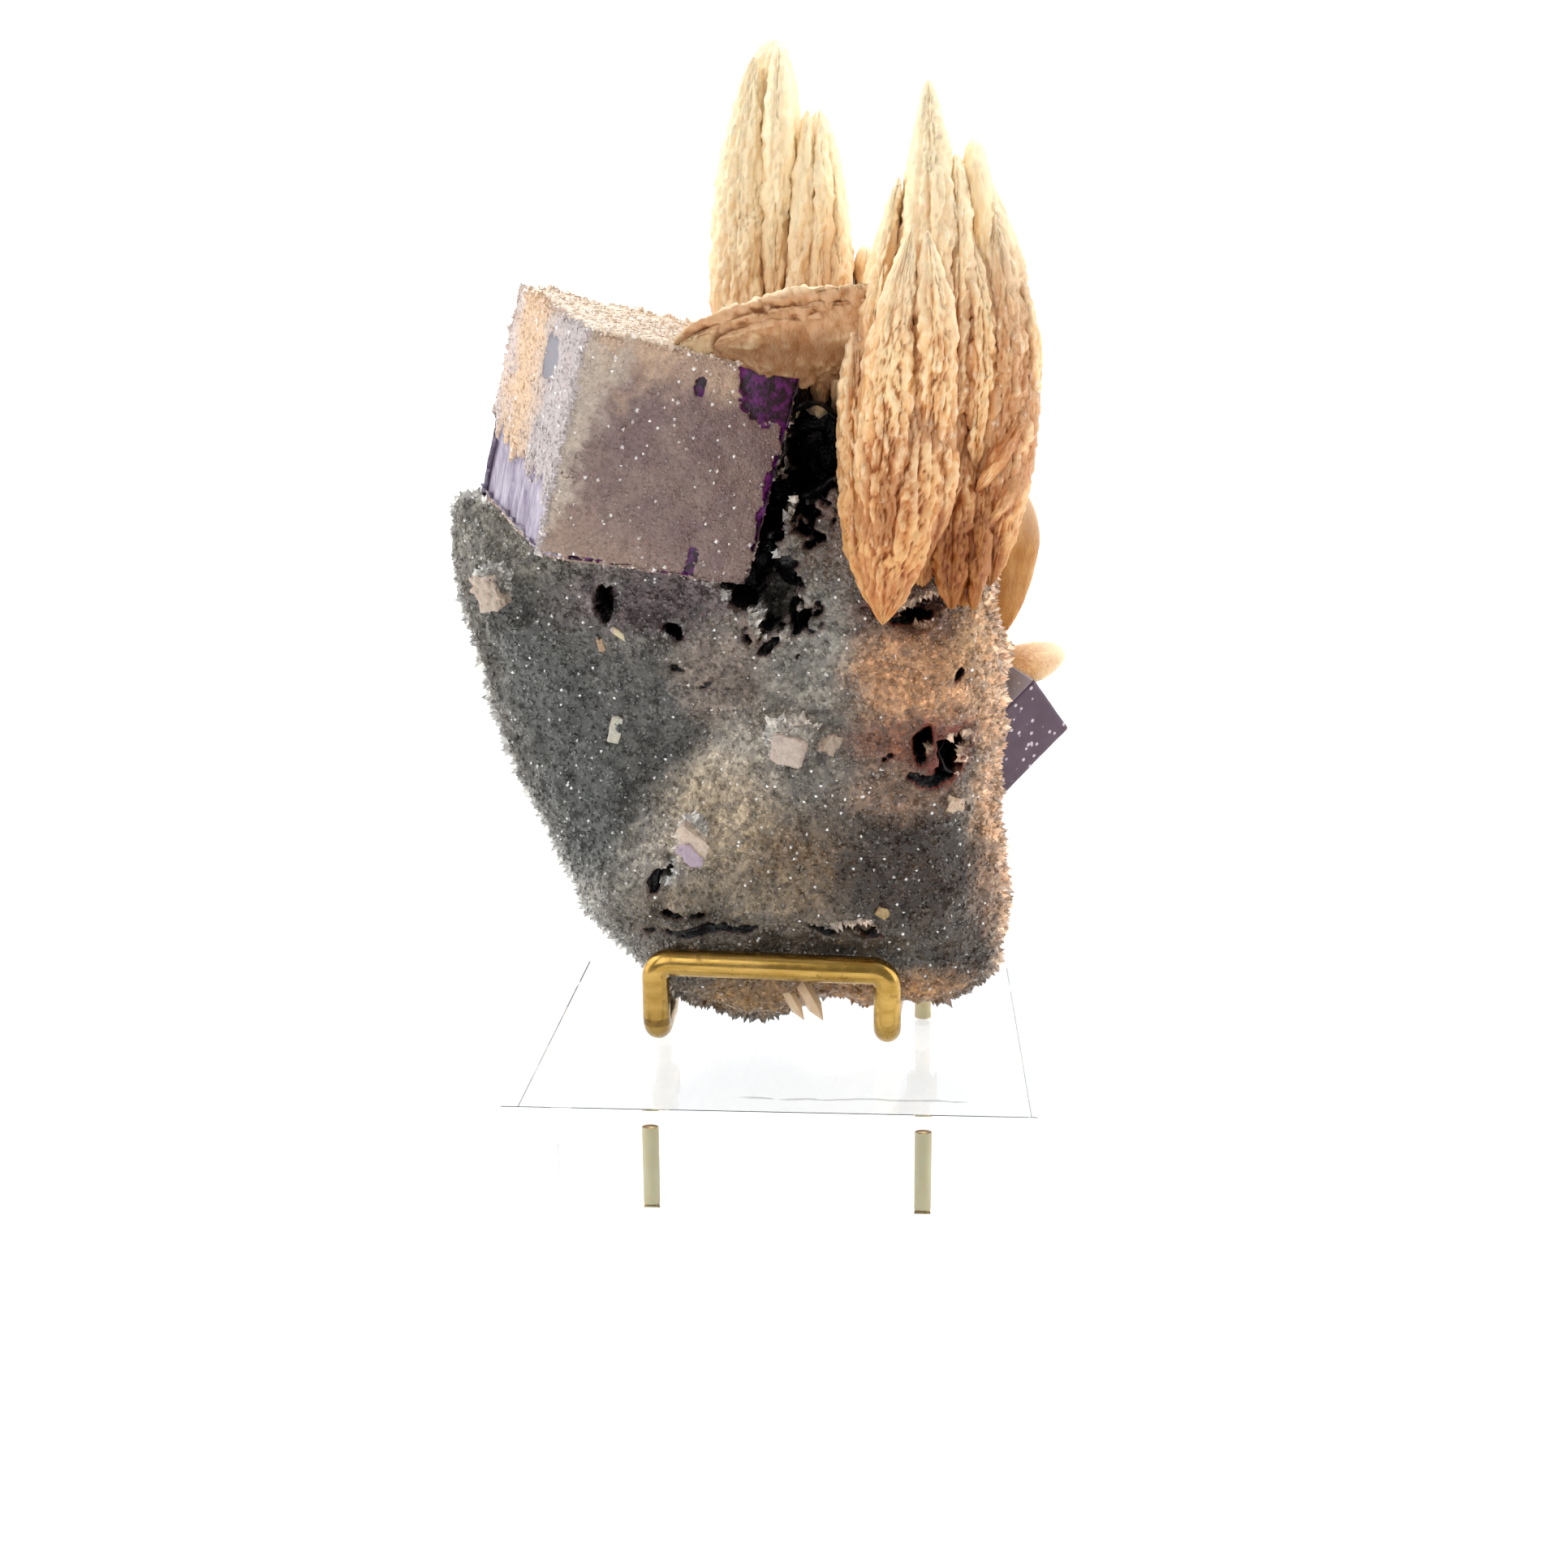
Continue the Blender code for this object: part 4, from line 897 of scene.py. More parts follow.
def baryte_material(name, pale, deep, rust, painted_light_from, painted_light_to, glow=0.1, low_shade=0.95, painted_glint=0.5,
                    shadow=None):
    """Cream ridges over rust grooves, with painted highlights and glints on the ridges, painted glow towards the tips
    and higher up, and painted shade low down, in the grooves and along the seams.
    """
    paint = Paint(name)
    relief = paint.value("relief")
    height = paint.vector("DOT_PRODUCT", paint.mm, (0.0, 0.0, 1.0))
    streaks = paint.noise(1.2, 4.0, stretch=(1.0, 1.0, 4.0), rough=0.65)
    patches = paint.noise(6.0, 2.0, stretch=(1.0, 1.0, 2.2), seed=2.0)
    colour = paint.mix(paint.ramp(streaks, 0.35, 0.65), deep, pale)
    rusty = paint.math("MULTIPLY", paint.ramp(patches, 0.46, 0.66), paint.ramp(height, 134.0, 104.0))
    colour = paint.mix(paint.math("MULTIPLY", rusty, 0.5), colour, rust)
    # Rust colour in the grooves, weaker higher up: rust staining and painted shade in the grooves
    groove = paint.math("MULTIPLY", paint.ramp(relief, 0.1, -0.7), paint.ramp(height, 146.0, 100.0, 0.2, 0.9))
    colour = paint.mix(groove, colour, rust)
    # Painted highlight: paler cream on the raised ridges
    colour = paint.mix(paint.ramp(relief, 0.1, 0.8, 0.0, 0.7), colour, tint(250, 224, 184))
    # Painted glow: paler towards each blade's tip, where light comes through
    colour = paint.mix(paint.ramp(paint.value("share"), 0.62, 0.98, 0.0, 0.6), colour, tint(250, 228, 196))
    # Painted shade along the seams where blades meet, weaker near the top
    seam_shade = paint.math("MULTIPLY", paint.ramp(paint.value("seam_shade"), 0.45, 1.0), 0.6)
    seam_shade = paint.math("MULTIPLY", seam_shade, paint.ramp(height, 146.0, 118.0, 0.15, 1.0))
    colour = paint.mix(seam_shade, colour, tint(178, 104, 44))
    # Painted light: paler higher up the blades
    colour = paint.mix(paint.ramp(height, painted_light_from, painted_light_to, 0.0, 0.75), colour, tint(255, 237, 198))
    # Painted glints: pale flecks on the raised ridges
    painted_glints = paint.ramp(paint.noise(0.6, 2.0, stretch=(1.0, 1.0, 2.0), seed=5.0), 0.60, 0.70, 0.0, painted_glint)
    painted_glints = paint.math("MULTIPLY", painted_glints, paint.ramp(relief, -0.1, 0.3))
    colour = paint.mix(painted_glints, colour, tint(250, 236, 218))
    # Painted shade: darker and more orange lower down
    low = paint.ramp(height, 116.0, 88.0, 0.0, low_shade)
    colour = paint.mix(low, colour, paint.mix(1.0, colour, (0.76, 0.56, 0.36), "MULTIPLY"))
    # A darker orange-brown patch round x 27, z 87, as strong as the low shade
    foot_patch = paint.vector("LENGTH", paint.place((27.0, 0.0, 87.0), 0.0, (5.5, 1e6, 10.0)), (0.0, 0.0, 0.0))
    foot_patch = paint.math("MULTIPLY", paint.ramp(foot_patch, 1.3, 0.6), low_shade)
    colour = paint.mix(foot_patch, colour, paint.mix(1.0, colour, (0.50, 0.32, 0.10), "MULTIPLY"))
    if shadow:
        colour = paint.mix(paint.ramp(height, *shadow), colour, paint.mix(1.0, colour, (0.52, 0.48, 0.42), "MULTIPLY"))
    paint.feed("Base Color", colour)
    grain = paint.noise(0.35, 3.0, stretch=(1.0, 1.0, 1.8), rough=0.7)
    fibre = paint.noise(0.5, 3.0, stretch=(1.0, 1.0, 3.0), seed=4.0)
    paint.feed("Normal", paint.bump(paint.math("ADD", grain, fibre), 0.17, 0.8))
    paint.set(Roughness=0.5, Specular_IOR_Level=0.35, IOR=1.63, Subsurface_Weight=glow,
              Subsurface_Scale=0.0012)
    paint.shader.inputs["Subsurface Radius"].default_value = (1.0, 0.6, 0.3)
    return paint.material


# Fluorite cubes

CUBE_CENTRE = np.array([-19.2, -7.6, 106.1])
CUBE_EDGES = np.array([31.7, 30.1, 30.5])
CUBE_TURN = (12.8, 11.0, 30.95)
CUBE_CUTS = 74
SIDE_CENTRE = np.array([32.35, 6.08, 62.85])
SIDE_EDGES = np.array([12.5, 14.4, 12.2])
SIDE_AXES = ((-0.531, 0.817, 0.223), (-0.694, -0.270, -0.667), (-0.485, -0.509, 0.711))
SIDE_CUTS = 30
CUBE_DRUSE_COUNT = 9000


def box_grid(name, cuts):
    """A box one unit wide with evenly cut faces: the object and its points."""
    bm = bmesh.new()
    bmesh.ops.create_cube(bm, size=1.0)
    bmesh.ops.subdivide_edges(bm, edges=bm.edges, cuts=cuts, use_grid_fill=True)
    mesh = bpy.data.meshes.new(name)
    bm.to_mesh(mesh)
    bm.free()
    item = bpy.data.objects.new(name, mesh)
    bpy.context.scene.collection.objects.link(item)
    return item, get_points(mesh) * MM


def outward(flat):
    """The way out of the box at each of its points."""
    outer = np.abs(np.abs(flat) - 0.5) < 1e-4
    away = np.sign(flat) * outer
    return away / np.linalg.norm(away, axis=1)[:, None]


def from_edge(flat, edges):
    return np.sort(np.abs(np.abs(flat) - 0.5) * edges, axis=1)[:, 1]


def bare_share(flat):
    """Where the crust is missing on the large cube: 1 on bare fluorite."""
    u, w, v = (flat + 0.5).T
    ragged = 0.5 * fractal(flat * 13.0, 51, 3)
    front = flat[:, 1] < -0.46
    left = flat[:, 0] < -0.46
    corner = np.maximum(np.abs(u - 0.93) / 0.20, np.abs(v - 0.93) / 0.17) + 0.6 * ragged
    slit = np.maximum(np.abs(u - 0.70) / 0.024, np.abs(v - 0.04) / 0.11) + 0.25 * ragged
    pit = np.hypot((u - 0.545) / 0.030, (v - 0.85) / 0.050) + 0.6 * ragged
    hem = v / 0.020 + 1.6 * ragged + np.where(u < 0.30, -0.6, 0.4)
    side = (1.0 - u) / 0.034 + 2.0 * ragged
    on_front = np.minimum.reduce([corner, slit, pit, hem, side])
    patch = np.hypot((w - 0.37) / 0.10, (v - 0.80) / 0.10) + 0.7 * ragged
    steps = 1.0 - (0.33 - v + 0.05 * np.sin(w * 47.0) + 0.10 * ragged + 0.10 * (w - 0.5)) / 0.10
    on_left = np.minimum(patch, steps)
    return step(1.12, 0.86, on_front) * front + step(1.1, 0.8, on_left) * left * ~front


def make_large_cube():
    axes = np.array(Euler([math.radians(a) for a in CUBE_TURN]).to_matrix())
    item, flat = box_grid("fluorite_crust", CUBE_CUTS)
    bare = bare_share(flat)
    left = flat[:, 0] < -0.46
    local = flat * CUBE_EDGES
    crust = 0.16 * (0.5 - np.minimum(cells(local / 1.1, 61)[0], 0.5)) + 0.24 * fractal(local / 3.0, 62, 3)
    crust += 0.18 * (0.45 - cells(local / 2.6, 64)[0])
    wear = 0.55 * step(1.1, 0.0, from_edge(flat, CUBE_EDGES)) * (0.6 + 0.9 * fractal(local / 1.4, 65, 2))
    strips = np.floor(local[:, 1] / 1.5 + 0.5 * noise(local / 7.0, 66)).astype(np.int64)
    stepped = -0.55 - 0.9 * hashed(strips, strips * 0, strips * 0, 67)
    bared = np.where(left & (flat[:, 2] < -0.1), stepped, -0.6)
    height = (1.0 - bare) * (crust - 0.15) + bare * bared - wear
    points = CUBE_CENTRE + (local + outward(flat) * height[:, None]) @ axes.T
    set_points(item.data, keep_inside(points))
    write_value(item, "bare", bare)
    write_relief(item, 8, 0.4)
    shade(item, True)
    return item


def make_cube_druse(cube):
    covered = 1.0 - get_values(cube.data, "bare")
    axes = np.array(Euler([math.radians(a) for a in CUBE_TURN]).to_matrix())

    def edge_share(points):
        return step(1.5, 0.3, from_edge((points - CUBE_CENTRE) @ axes / CUBE_EDGES, CUBE_EDGES))

    def chance(points, out, corners):
        return np.clip(covered[corners].mean(1), 0.0, 1.0) * (0.6 + edge_share(points))

    places, normals, _ = scatter(cube.data, CUBE_DRUSE_COUNT, 15, chance)
    rng = np.random.default_rng(16)
    edge = edge_share(places) * rng.random(len(places))
    size = 0.50 + 0.34 * rng.random(len(places)) ** 2 + 0.45 * edge
    points, faces = crystal_points(places, normals, size * 0.5, size * (0.32 + 0.5 * edge), 0.30, 17)
    item = make_mesh("fluorite_druse", keep_inside(points), faces)
    # Druse on the left face takes that face's paler cream, which is partly painted light
    left = ((places - CUBE_CENTRE) @ axes[:, 0]) / CUBE_EDGES[0] < -0.478
    write_value(item, "side", np.repeat(left.astype(float), POINT_RING + 2))
    write_value(item, "tone_and_glint", np.repeat(rng.random(len(places)), POINT_RING + 2))
    shade(item, False)
    return item


def make_side_cube():
    axes = np.array(SIDE_AXES).T
    item, flat = box_grid("fluorite_side", SIDE_CUTS)
    local = flat * SIDE_EDGES
    wear = 0.16 * step(0.3, 0.0, from_edge(flat, SIDE_EDGES))
    level = 0.05 * fractal(local / 2.0, 81, 2) - wear
    local = local + outward(flat) * level[:, None]
    set_points(item.data, keep_inside(SIDE_CENTRE + local @ axes.T))
    shade(item, True)
    return item


def crust_colours(paint, side):
    """The large cube's crust colour by place, with partly painted light on its top and left face, and the parts that
    its faces need.
    """
    turn = Euler([math.radians(a) for a in CUBE_TURN]).to_matrix().transposed()
    moved = paint.vector("SUBTRACT", paint.mm, tuple(CUBE_CENTRE))
    u, w, v = (paint.math("ADD", paint.math("DIVIDE", paint.vector("DOT_PRODUCT", moved, tuple(turn[k])),
                                            float(CUBE_EDGES[k])), 0.5) for k in range(3))
    patches = paint.noise(5.0, 3.0, rough=0.6)
    wavy = paint.math("MULTIPLY", paint.math("SUBTRACT", patches, 0.5), 0.5)
    colour = paint.mix(paint.ramp(patches, 0.35, 0.7), tint(118, 97, 96), tint(134, 114, 106))
    warm = paint.math("ADD", v, paint.math("MULTIPLY", u, -0.16))
    colour = paint.mix(paint.ramp(paint.math("ADD", warm, wavy), 0.62, 1.0), colour, tint(190, 162, 138))
    low = paint.math("ADD", paint.math("ADD", v, paint.math("MULTIPLY", u, 0.5)), wavy)
    colour = paint.mix(paint.ramp(low, 0.5, 0.12, 0.0, 0.7), colour, tint(160, 136, 120))
    high_left = paint.math("ADD", paint.math("MULTIPLY", v, -0.14), paint.math("ADD", u, wavy))
    colour = paint.mix(paint.ramp(high_left, 0.10, -0.03, 0.0, 0.9), colour, tint(184, 170, 156))
    # The top paler cream: crust colour and partly painted light from above
    colour = paint.mix(paint.ramp(v, 0.975, 0.995), colour, tint(208, 188, 166))
    # The left face paler cream: its crust colour and partly painted light from the left
    left_face_cream_and_light = paint.mix(paint.ramp(paint.math("ADD", w, wavy), 0.30, 0.58), tint(176, 166, 164),
                      tint(208, 176, 142))
    left_face_cream_and_light = paint.mix(paint.ramp(paint.math("ADD", w, wavy), 0.78, 0.98), left_face_cream_and_light, tint(198, 182, 174))
    left_face_cream_and_light = paint.mix(paint.ramp(patches, 0.50, 0.70, 0.0, 0.6), left_face_cream_and_light, tint(188, 170, 166))
    colour = paint.mix(side, colour, left_face_cream_and_light)
    return colour, (u, v)


def cube_material():
    paint = Paint("fluorite_crust")
    leftward = -np.array(Euler([math.radians(a) for a in CUBE_TURN]).to_matrix())[:, 0]
    normal = paint.tree.nodes.new("ShaderNodeNewGeometry").outputs["Normal"]
    # Where the surface faces left, for the left face's paler cream that is partly painted light
    side = paint.ramp(paint.vector("DOT_PRODUCT", normal, tuple(float(a) for a in leftward)), 0.4, 0.6)
    colour, (u, v) = crust_colours(paint, side)
    ragged = paint.math("MULTIPLY", paint.math("SUBTRACT", paint.noise(0.8, 3.0, rough=0.7), 0.5), 0.5)
    bare = paint.ramp(paint.math("ADD", paint.value("bare"), ragged), 0.42, 0.58)
    grains = paint.vector("DOT_PRODUCT", paint.cells(0.45, "Color"), (0.33, 0.33, 0.33))
    colour = paint.mix(1.0, colour, paint.mix(paint.ramp(grains, 0.2, 0.8), (0.86, 0.86, 0.87),
                                              (1.14, 1.13, 1.12)), "MULTIPLY")
    purple = paint.mix(paint.ramp(paint.noise(1.3, 3.0, rough=0.65), 0.4, 0.68), tint(22, 0, 22), tint(98, 26, 104))
    streaks = paint.noise(0.9, 3.0, stretch=(1.0, 1.0, 7.0), rough=0.65)
    lilac = paint.mix(paint.ramp(streaks, 0.3, 0.7), tint(116, 102, 128), tint(172, 164, 178))
    lilac = paint.mix(paint.ramp(streaks, 0.66, 0.74, 0.0, 0.7), lilac, tint(222, 214, 214))
    lilac = paint.mix(paint.ramp(v, 0.5, 0.62), lilac, tint(122, 118, 128))
    colour = paint.mix(bare, colour, paint.mix(paint.ramp(u, 0.16, 0.10), purple, lilac))
    crack = paint.ramp(paint.math("ABSOLUTE", paint.math("SUBTRACT", paint.noise(2.2, 2.0), 0.5)), 0.02, 0.004)
    near_crack = paint.math("MULTIPLY", paint.ramp(paint.math("ABSOLUTE", paint.math("SUBTRACT", v, 0.43)), 0.14, 0.06),
                            paint.ramp(u, 0.13, 0.08))
    colour = paint.mix(paint.math("MULTIPLY", paint.math("MULTIPLY", crack, near_crack), 0.8), colour,
                       tint(74, 50, 42))
    relief = paint.value("relief")
    # Painted shade: darker in low places
    colour = paint.mix(paint.ramp(relief, -0.2, -0.9, 0.0, 0.3), colour, tint(70, 52, 54))
    paint.feed("Base Color", colour)
    paint.feed("Roughness", paint.ramp(paint.value("bare"), 0.3, 0.7, 0.42, 0.3))
    grain = paint.math("SUBTRACT", 1.0, paint.cells(0.38))
    grain = paint.math("MULTIPLY", grain, paint.ramp(bare, 0.0, 1.0, 1.0, 0.2))
    paint.feed("Normal", paint.bump(grain, 0.16, 0.8))
    paint.set(IOR=1.434, Specular_IOR_Level=0.5)
    return paint.material


def cube_druse_material():
    paint = Paint("fluorite_druse")
    colour = crust_colours(paint, paint.value("side"))[0]
    tone_and_glint = paint.value("tone_and_glint")
    colour = paint.mix(1.0, colour, paint.mix(tone_and_glint, (0.84, 0.84, 0.85), (1.18, 1.17, 1.16)), "MULTIPLY")
    # Painted glints: the crystals of highest tone made near white
    colour = paint.mix(paint.ramp(tone_and_glint, 0.90, 1.0, 0.0, 1.0), colour, (0.93, 0.91, 0.89))
    paint.feed("Base Color", colour)
    paint.set(Roughness=0.26, IOR=1.54, Coat_Weight=0.3, Coat_Roughness=0.1)
    return paint.material


def side_cube_material():
    paint = Paint("fluorite_side")
    colour = paint.mix(paint.noise(3.0, 3.0), tint(60, 34, 54), tint(92, 64, 84))
    normal = paint.tree.nodes.new("ShaderNodeNewGeometry").outputs["Normal"]
    top = paint.ramp(paint.vector("DOT_PRODUCT", normal, SIDE_AXES[2]), 0.6, 0.9, 0.0, 0.8)
    colour = paint.mix(top, colour, tint(172, 168, 176))
    speck = paint.vector("DOT_PRODUCT", paint.cells(0.9, "Color"), (0.33, 0.33, 0.33))
    speck = paint.math("MULTIPLY", paint.ramp(speck, 0.58, 0.60), paint.ramp(paint.cells(0.9), 0.38, 0.26, 0.0, 0.85))
    colour = paint.mix(speck, colour, tint(222, 208, 214))
    paint.feed("Base Color", colour)
    paint.feed("Normal", paint.bump(paint.noise(0.8, 3.0), 0.05, 0.6))
    paint.set(Roughness=0.18, IOR=1.434, Specular_IOR_Level=0.6, Transmission_Weight=0.2)
    return paint.material


# Brass stand

UPRIGHT_RADIUS = 1.25
CRADLE_RADIUS = 2.0
BASE_TOP = 15.0
LEFT_UPRIGHT = (-20.9, 17.5)
RIGHT_UPRIGHT = (22.3, 17.5)
SLEEVE_INNER = 1.27
SLEEVE_OUTER = 1.34


def rounded_path(corners, bend, steps=10):
    points = [Vector(corners[0])]
    for before, corner, after in zip(corners, corners[1:], corners[2:]):
        corner = Vector(corner)
        to_before = (Vector(before) - corner).normalized()
        to_after = (Vector(after) - corner).normalized()
        half_angle = to_before.angle(to_after) / 2.0
        setback = bend / math.tan(half_angle)
        centre = corner + (to_before + to_after).normalized() * (bend / math.sin(half_angle))
        start = corner + to_before * setback - centre
        finish = corner + to_after * setback - centre
        sweep = start.angle(finish)
        for index in range(steps + 1):
            share = index / steps
            blend = start * math.sin((1.0 - share) * sweep) + finish * math.sin(share * sweep)
            points.append(centre + blend / math.sin(sweep))
    points.append(Vector(corners[-1]))
    return points


def rod(points, radius, sides=32):
    rings = []
    tangents = []
    for index, point in enumerate(points):
        ahead = points[min(index + 1, len(points) - 1)] - point
        behind = point - points[max(index - 1, 0)]
        tangents.append((ahead.normalized() + behind.normalized()).normalized())
    side = tangents[0].orthogonal().normalized()
    for point, tangent in zip(points, tangents):
        side = (side - tangent * side.dot(tangent)).normalized()
        other = tangent.cross(side)
        rings.append([point + (side * math.cos(a) + other * math.sin(a)) * radius
                      for a in (2.0 * math.pi * k / sides for k in range(sides))])
    array = np.array([[list(p) for p in ring] for ring in rings]).reshape(-1, 3)
    count = len(rings)
    index = np.arange(count * sides).reshape(count, sides)
    around = np.roll(index, -1, axis=1)
    quads = np.stack([index[:-1], around[:-1], around[1:], index[1:]], -1).reshape(-1, 4)
    ends = np.array([list(points[0]), list(points[-1])])
    array = np.concatenate([array, ends])
    low = np.stack([index[0], np.full(sides, count * sides), around[0]], -1)
    high = np.stack([index[-1], around[-1], np.full(sides, count * sides + 1)], -1)
    return array, np.concatenate([quads[:, [0, 1, 2]], quads[:, [0, 2, 3]], low, high])


def tube(centre, inner, outer, height, bevel=0.25, sides=48):
    """A short thick walled ring."""
    angle = 2.0 * math.pi * np.arange(sides) / sides
    around = np.stack([np.cos(angle), np.sin(angle), np.zeros(sides)], 1)
    up = np.array([0.0, 0.0, height / 2.0])
    profile = [(inner, -1.0, 0.0), (outer - bevel, -1.0, 0.0), (outer, -1.0, bevel),
               (outer, 1.0, -bevel), (outer - bevel, 1.0, 0.0), (inner, 1.0, 0.0)]
    rings = [np.array(centre) + around * radius + up * sign + np.array([0.0, 0.0, shift])
             for radius, sign, shift in profile]
    count = len(rings)
    index = np.arange(count * sides).reshape(count, sides)
    nxt = np.roll(index, -1, axis=1)
    below = np.roll(index, -1, axis=0)
    below_nxt = np.roll(nxt, -1, axis=0)
    quads = np.stack([index, nxt, below_nxt, below], -1).reshape(-1, 4)
    return np.concatenate(rings), np.concatenate([quads[:, [0, 1, 2]], quads[:, [0, 2, 3]]])


def joined(parts):
    offset = 0
    points = []
    faces = []
    for some, corners in parts:
        points.append(some)
        faces.append(corners + offset)
        offset += len(some)
    return np.concatenate(points), np.concatenate(faces)


def make_stand():
    rest_path = rounded_path([(*LEFT_UPRIGHT, 1.8), (*LEFT_UPRIGHT, 58.0), (*RIGHT_UPRIGHT, 58.0),
                              (*RIGHT_UPRIGHT, 1.8)], 7.0)
    rest = make_mesh("back_rest_rod", *rod(rest_path, UPRIGHT_RADIUS))
    shade(rest, True)
    front = rounded_path([(-17.0, -8.0, 21.3), (-17.0, -16.0, 21.3), (-17.0, -16.0, 31.8),
                          (16.6, -16.0, 30.8), (16.6, -16.0, 21.3), (16.6, -8.0, 21.3)], 2.3)
    left = [Vector(v) for v in ((-20.9, 15.05, 21.3), (-19.4, 8.0, 21.3), (-17.6, 0.0, 21.3))]
    right = [Vector(v) for v in ((17.2, 0.0, 21.3), (19.6, 8.0, 21.3), (22.3, 15.05, 21.3))]
    parts = [rod(left + front + right, CRADLE_RADIUS, 40)]
    for x, y in (LEFT_UPRIGHT, RIGHT_UPRIGHT):
        parts.append(tube((x, y, 21.3), UPRIGHT_RADIUS + 0.05, 2.55, 4.4))
    cradle = make_mesh("cradle_rod", *joined(parts))
    shade(cradle, True)
    return rest, cradle


def make_bore_frost():
    """The frosted walls of the two drilled holes in the block."""
    parts = [tube((x, y, BASE_TOP / 2.0 + 0.7), SLEEVE_INNER, SLEEVE_OUTER, BASE_TOP - 2.0, 0.02)
             for x, y in (LEFT_UPRIGHT, RIGHT_UPRIGHT)]
    frost = make_mesh("bore_frost", *joined(parts))
    shade(frost, False)
    paint = Paint("bore_frost")
    cloud = paint.noise(1.6, 3.0, stretch=(1.0, 1.0, 2.5), rough=0.6)
    paint.feed("Base Color", paint.mix(cloud, tint(238, 202, 146), tint(255, 234, 194)))
    paint.set(Roughness=0.6, Subsurface_Weight=0.3, Subsurface_Scale=0.0005)
    return frost, paint.material


def brass_material():
    paint = Paint("brass_rod")
    along = paint.noise(1.2, 3.0, stretch=(6.0, 1.0, 1.0))
    spots = paint.noise(2.6, 4.0, rough=0.65, seed=3.0)
    colour = paint.mix(paint.ramp(along, 0.3, 0.7), (0.34, 0.20, 0.042), (0.49, 0.31, 0.088))
    colour = paint.mix(paint.ramp(spots, 0.56, 0.70, 0.0, 0.6), colour, (0.17, 0.085, 0.02))
    band = paint.place((-17.0, -16.0, 22.9), 0.0, (3.0, 3.0, 0.75))
    band = paint.ramp(paint.vector("LENGTH", band, (0.0, 0.0, 0.0)), 1.15, 0.9, 0.0, 0.75)
    colour = paint.mix(band, colour, (0.10, 0.045, 0.012))
    leg = paint.place((-17.0, -16.0, 24.0), 0.0, (3.0, 3.0, 7.5))
    leg = paint.ramp(paint.vector("LENGTH", leg, (0.0, 0.0, 0.0)), 1.2, 0.8, 0.0, 0.45)
    colour = paint.mix(leg, colour, (0.26, 0.16, 0.045))
    paint.feed("Base Color", colour)
    paint.feed("Roughness", paint.ramp(spots, 0.35, 0.7, 0.17, 0.32))
    scratches = paint.noise(0.25, 2.0, stretch=(8.0, 1.0, 3.0))
    paint.feed("Normal", paint.bump(scratches, 0.02, 0.6))
    paint.set(Metallic=1.0)
    return paint.material


# Acrylic block

BLOCK_BEVEL = 0.22


def make_block():
    """The clear block, solid round the rods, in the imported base's own box."""
    low, high = (np.array(corner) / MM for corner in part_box("acrylic_base"))
    item, flat = box_grid("acrylic_block", 0)
    set_points(item.data, (low + high) / 2.0 + flat * (high - low))
    bm = bmesh.new()
    bm.from_mesh(item.data)
    bmesh.ops.bevel(bm, geom=bm.edges, offset=BLOCK_BEVEL * MM, segments=2, affect="EDGES", profile=0.7)
    bm.to_mesh(item.data)
    bm.free()
    shade(item, False)
    return item


def acrylic_material():
    paint = Paint("clear_acrylic")
    across = paint.vector("DOT_PRODUCT", paint.mm, (1.0, 0.0, 0.0))
    back = paint.vector("DOT_PRODUCT", paint.mm, (0.0, 1.0, 0.0))
    height = paint.vector("DOT_PRODUCT", paint.mm, (0.0, 0.0, 1.0))
    wander = paint.math("MULTIPLY", paint.math("SUBTRACT", paint.noise(9.0, 2.0), 0.5), 3.0)
    away = paint.math("ABSOLUTE", paint.math("ADD", paint.math("ADD", back, 25.4), wander))
    scratch = paint.math("MULTIPLY", paint.ramp(away, 0.45, 0.1), paint.ramp(height, 14.9, 14.98))
    scratch = paint.math("MULTIPLY", scratch, paint.ramp(paint.noise(3.0, 2.0, seed=2.0), 0.38, 0.5))
    middle = paint.math("ABSOLUTE", paint.math("SUBTRACT", across, 12.0))
    scratch = paint.math("MULTIPLY", scratch, paint.ramp(middle, 17.0, 14.0, 0.0, 0.8))
    paint.feed("Base Color", paint.mix(scratch, (0.985, 0.99, 0.995), (0.25, 0.25, 0.24)))
    paint.set(Roughness=0.0, IOR=1.49, Transmission_Weight=1.0, Specular_IOR_Level=0.5)
    scuffs = paint.noise(14.0, 3.0)
    paint.feed("Normal", paint.bump(scuffs, 0.02, 0.3))
    absorb = paint.tree.nodes.new("ShaderNodeVolumeAbsorption")
    absorb.inputs["Color"].default_value = (0.62, 0.84, 0.92, 1.0)
    absorb.inputs["Density"].default_value = 3.0
    output = paint.tree.nodes["Material Output"]
    paint.tree.links.new(absorb.outputs[0], output.inputs["Volume"])
    return paint.material


# Light, floor and camera

FLOOR_DROP = 0.15


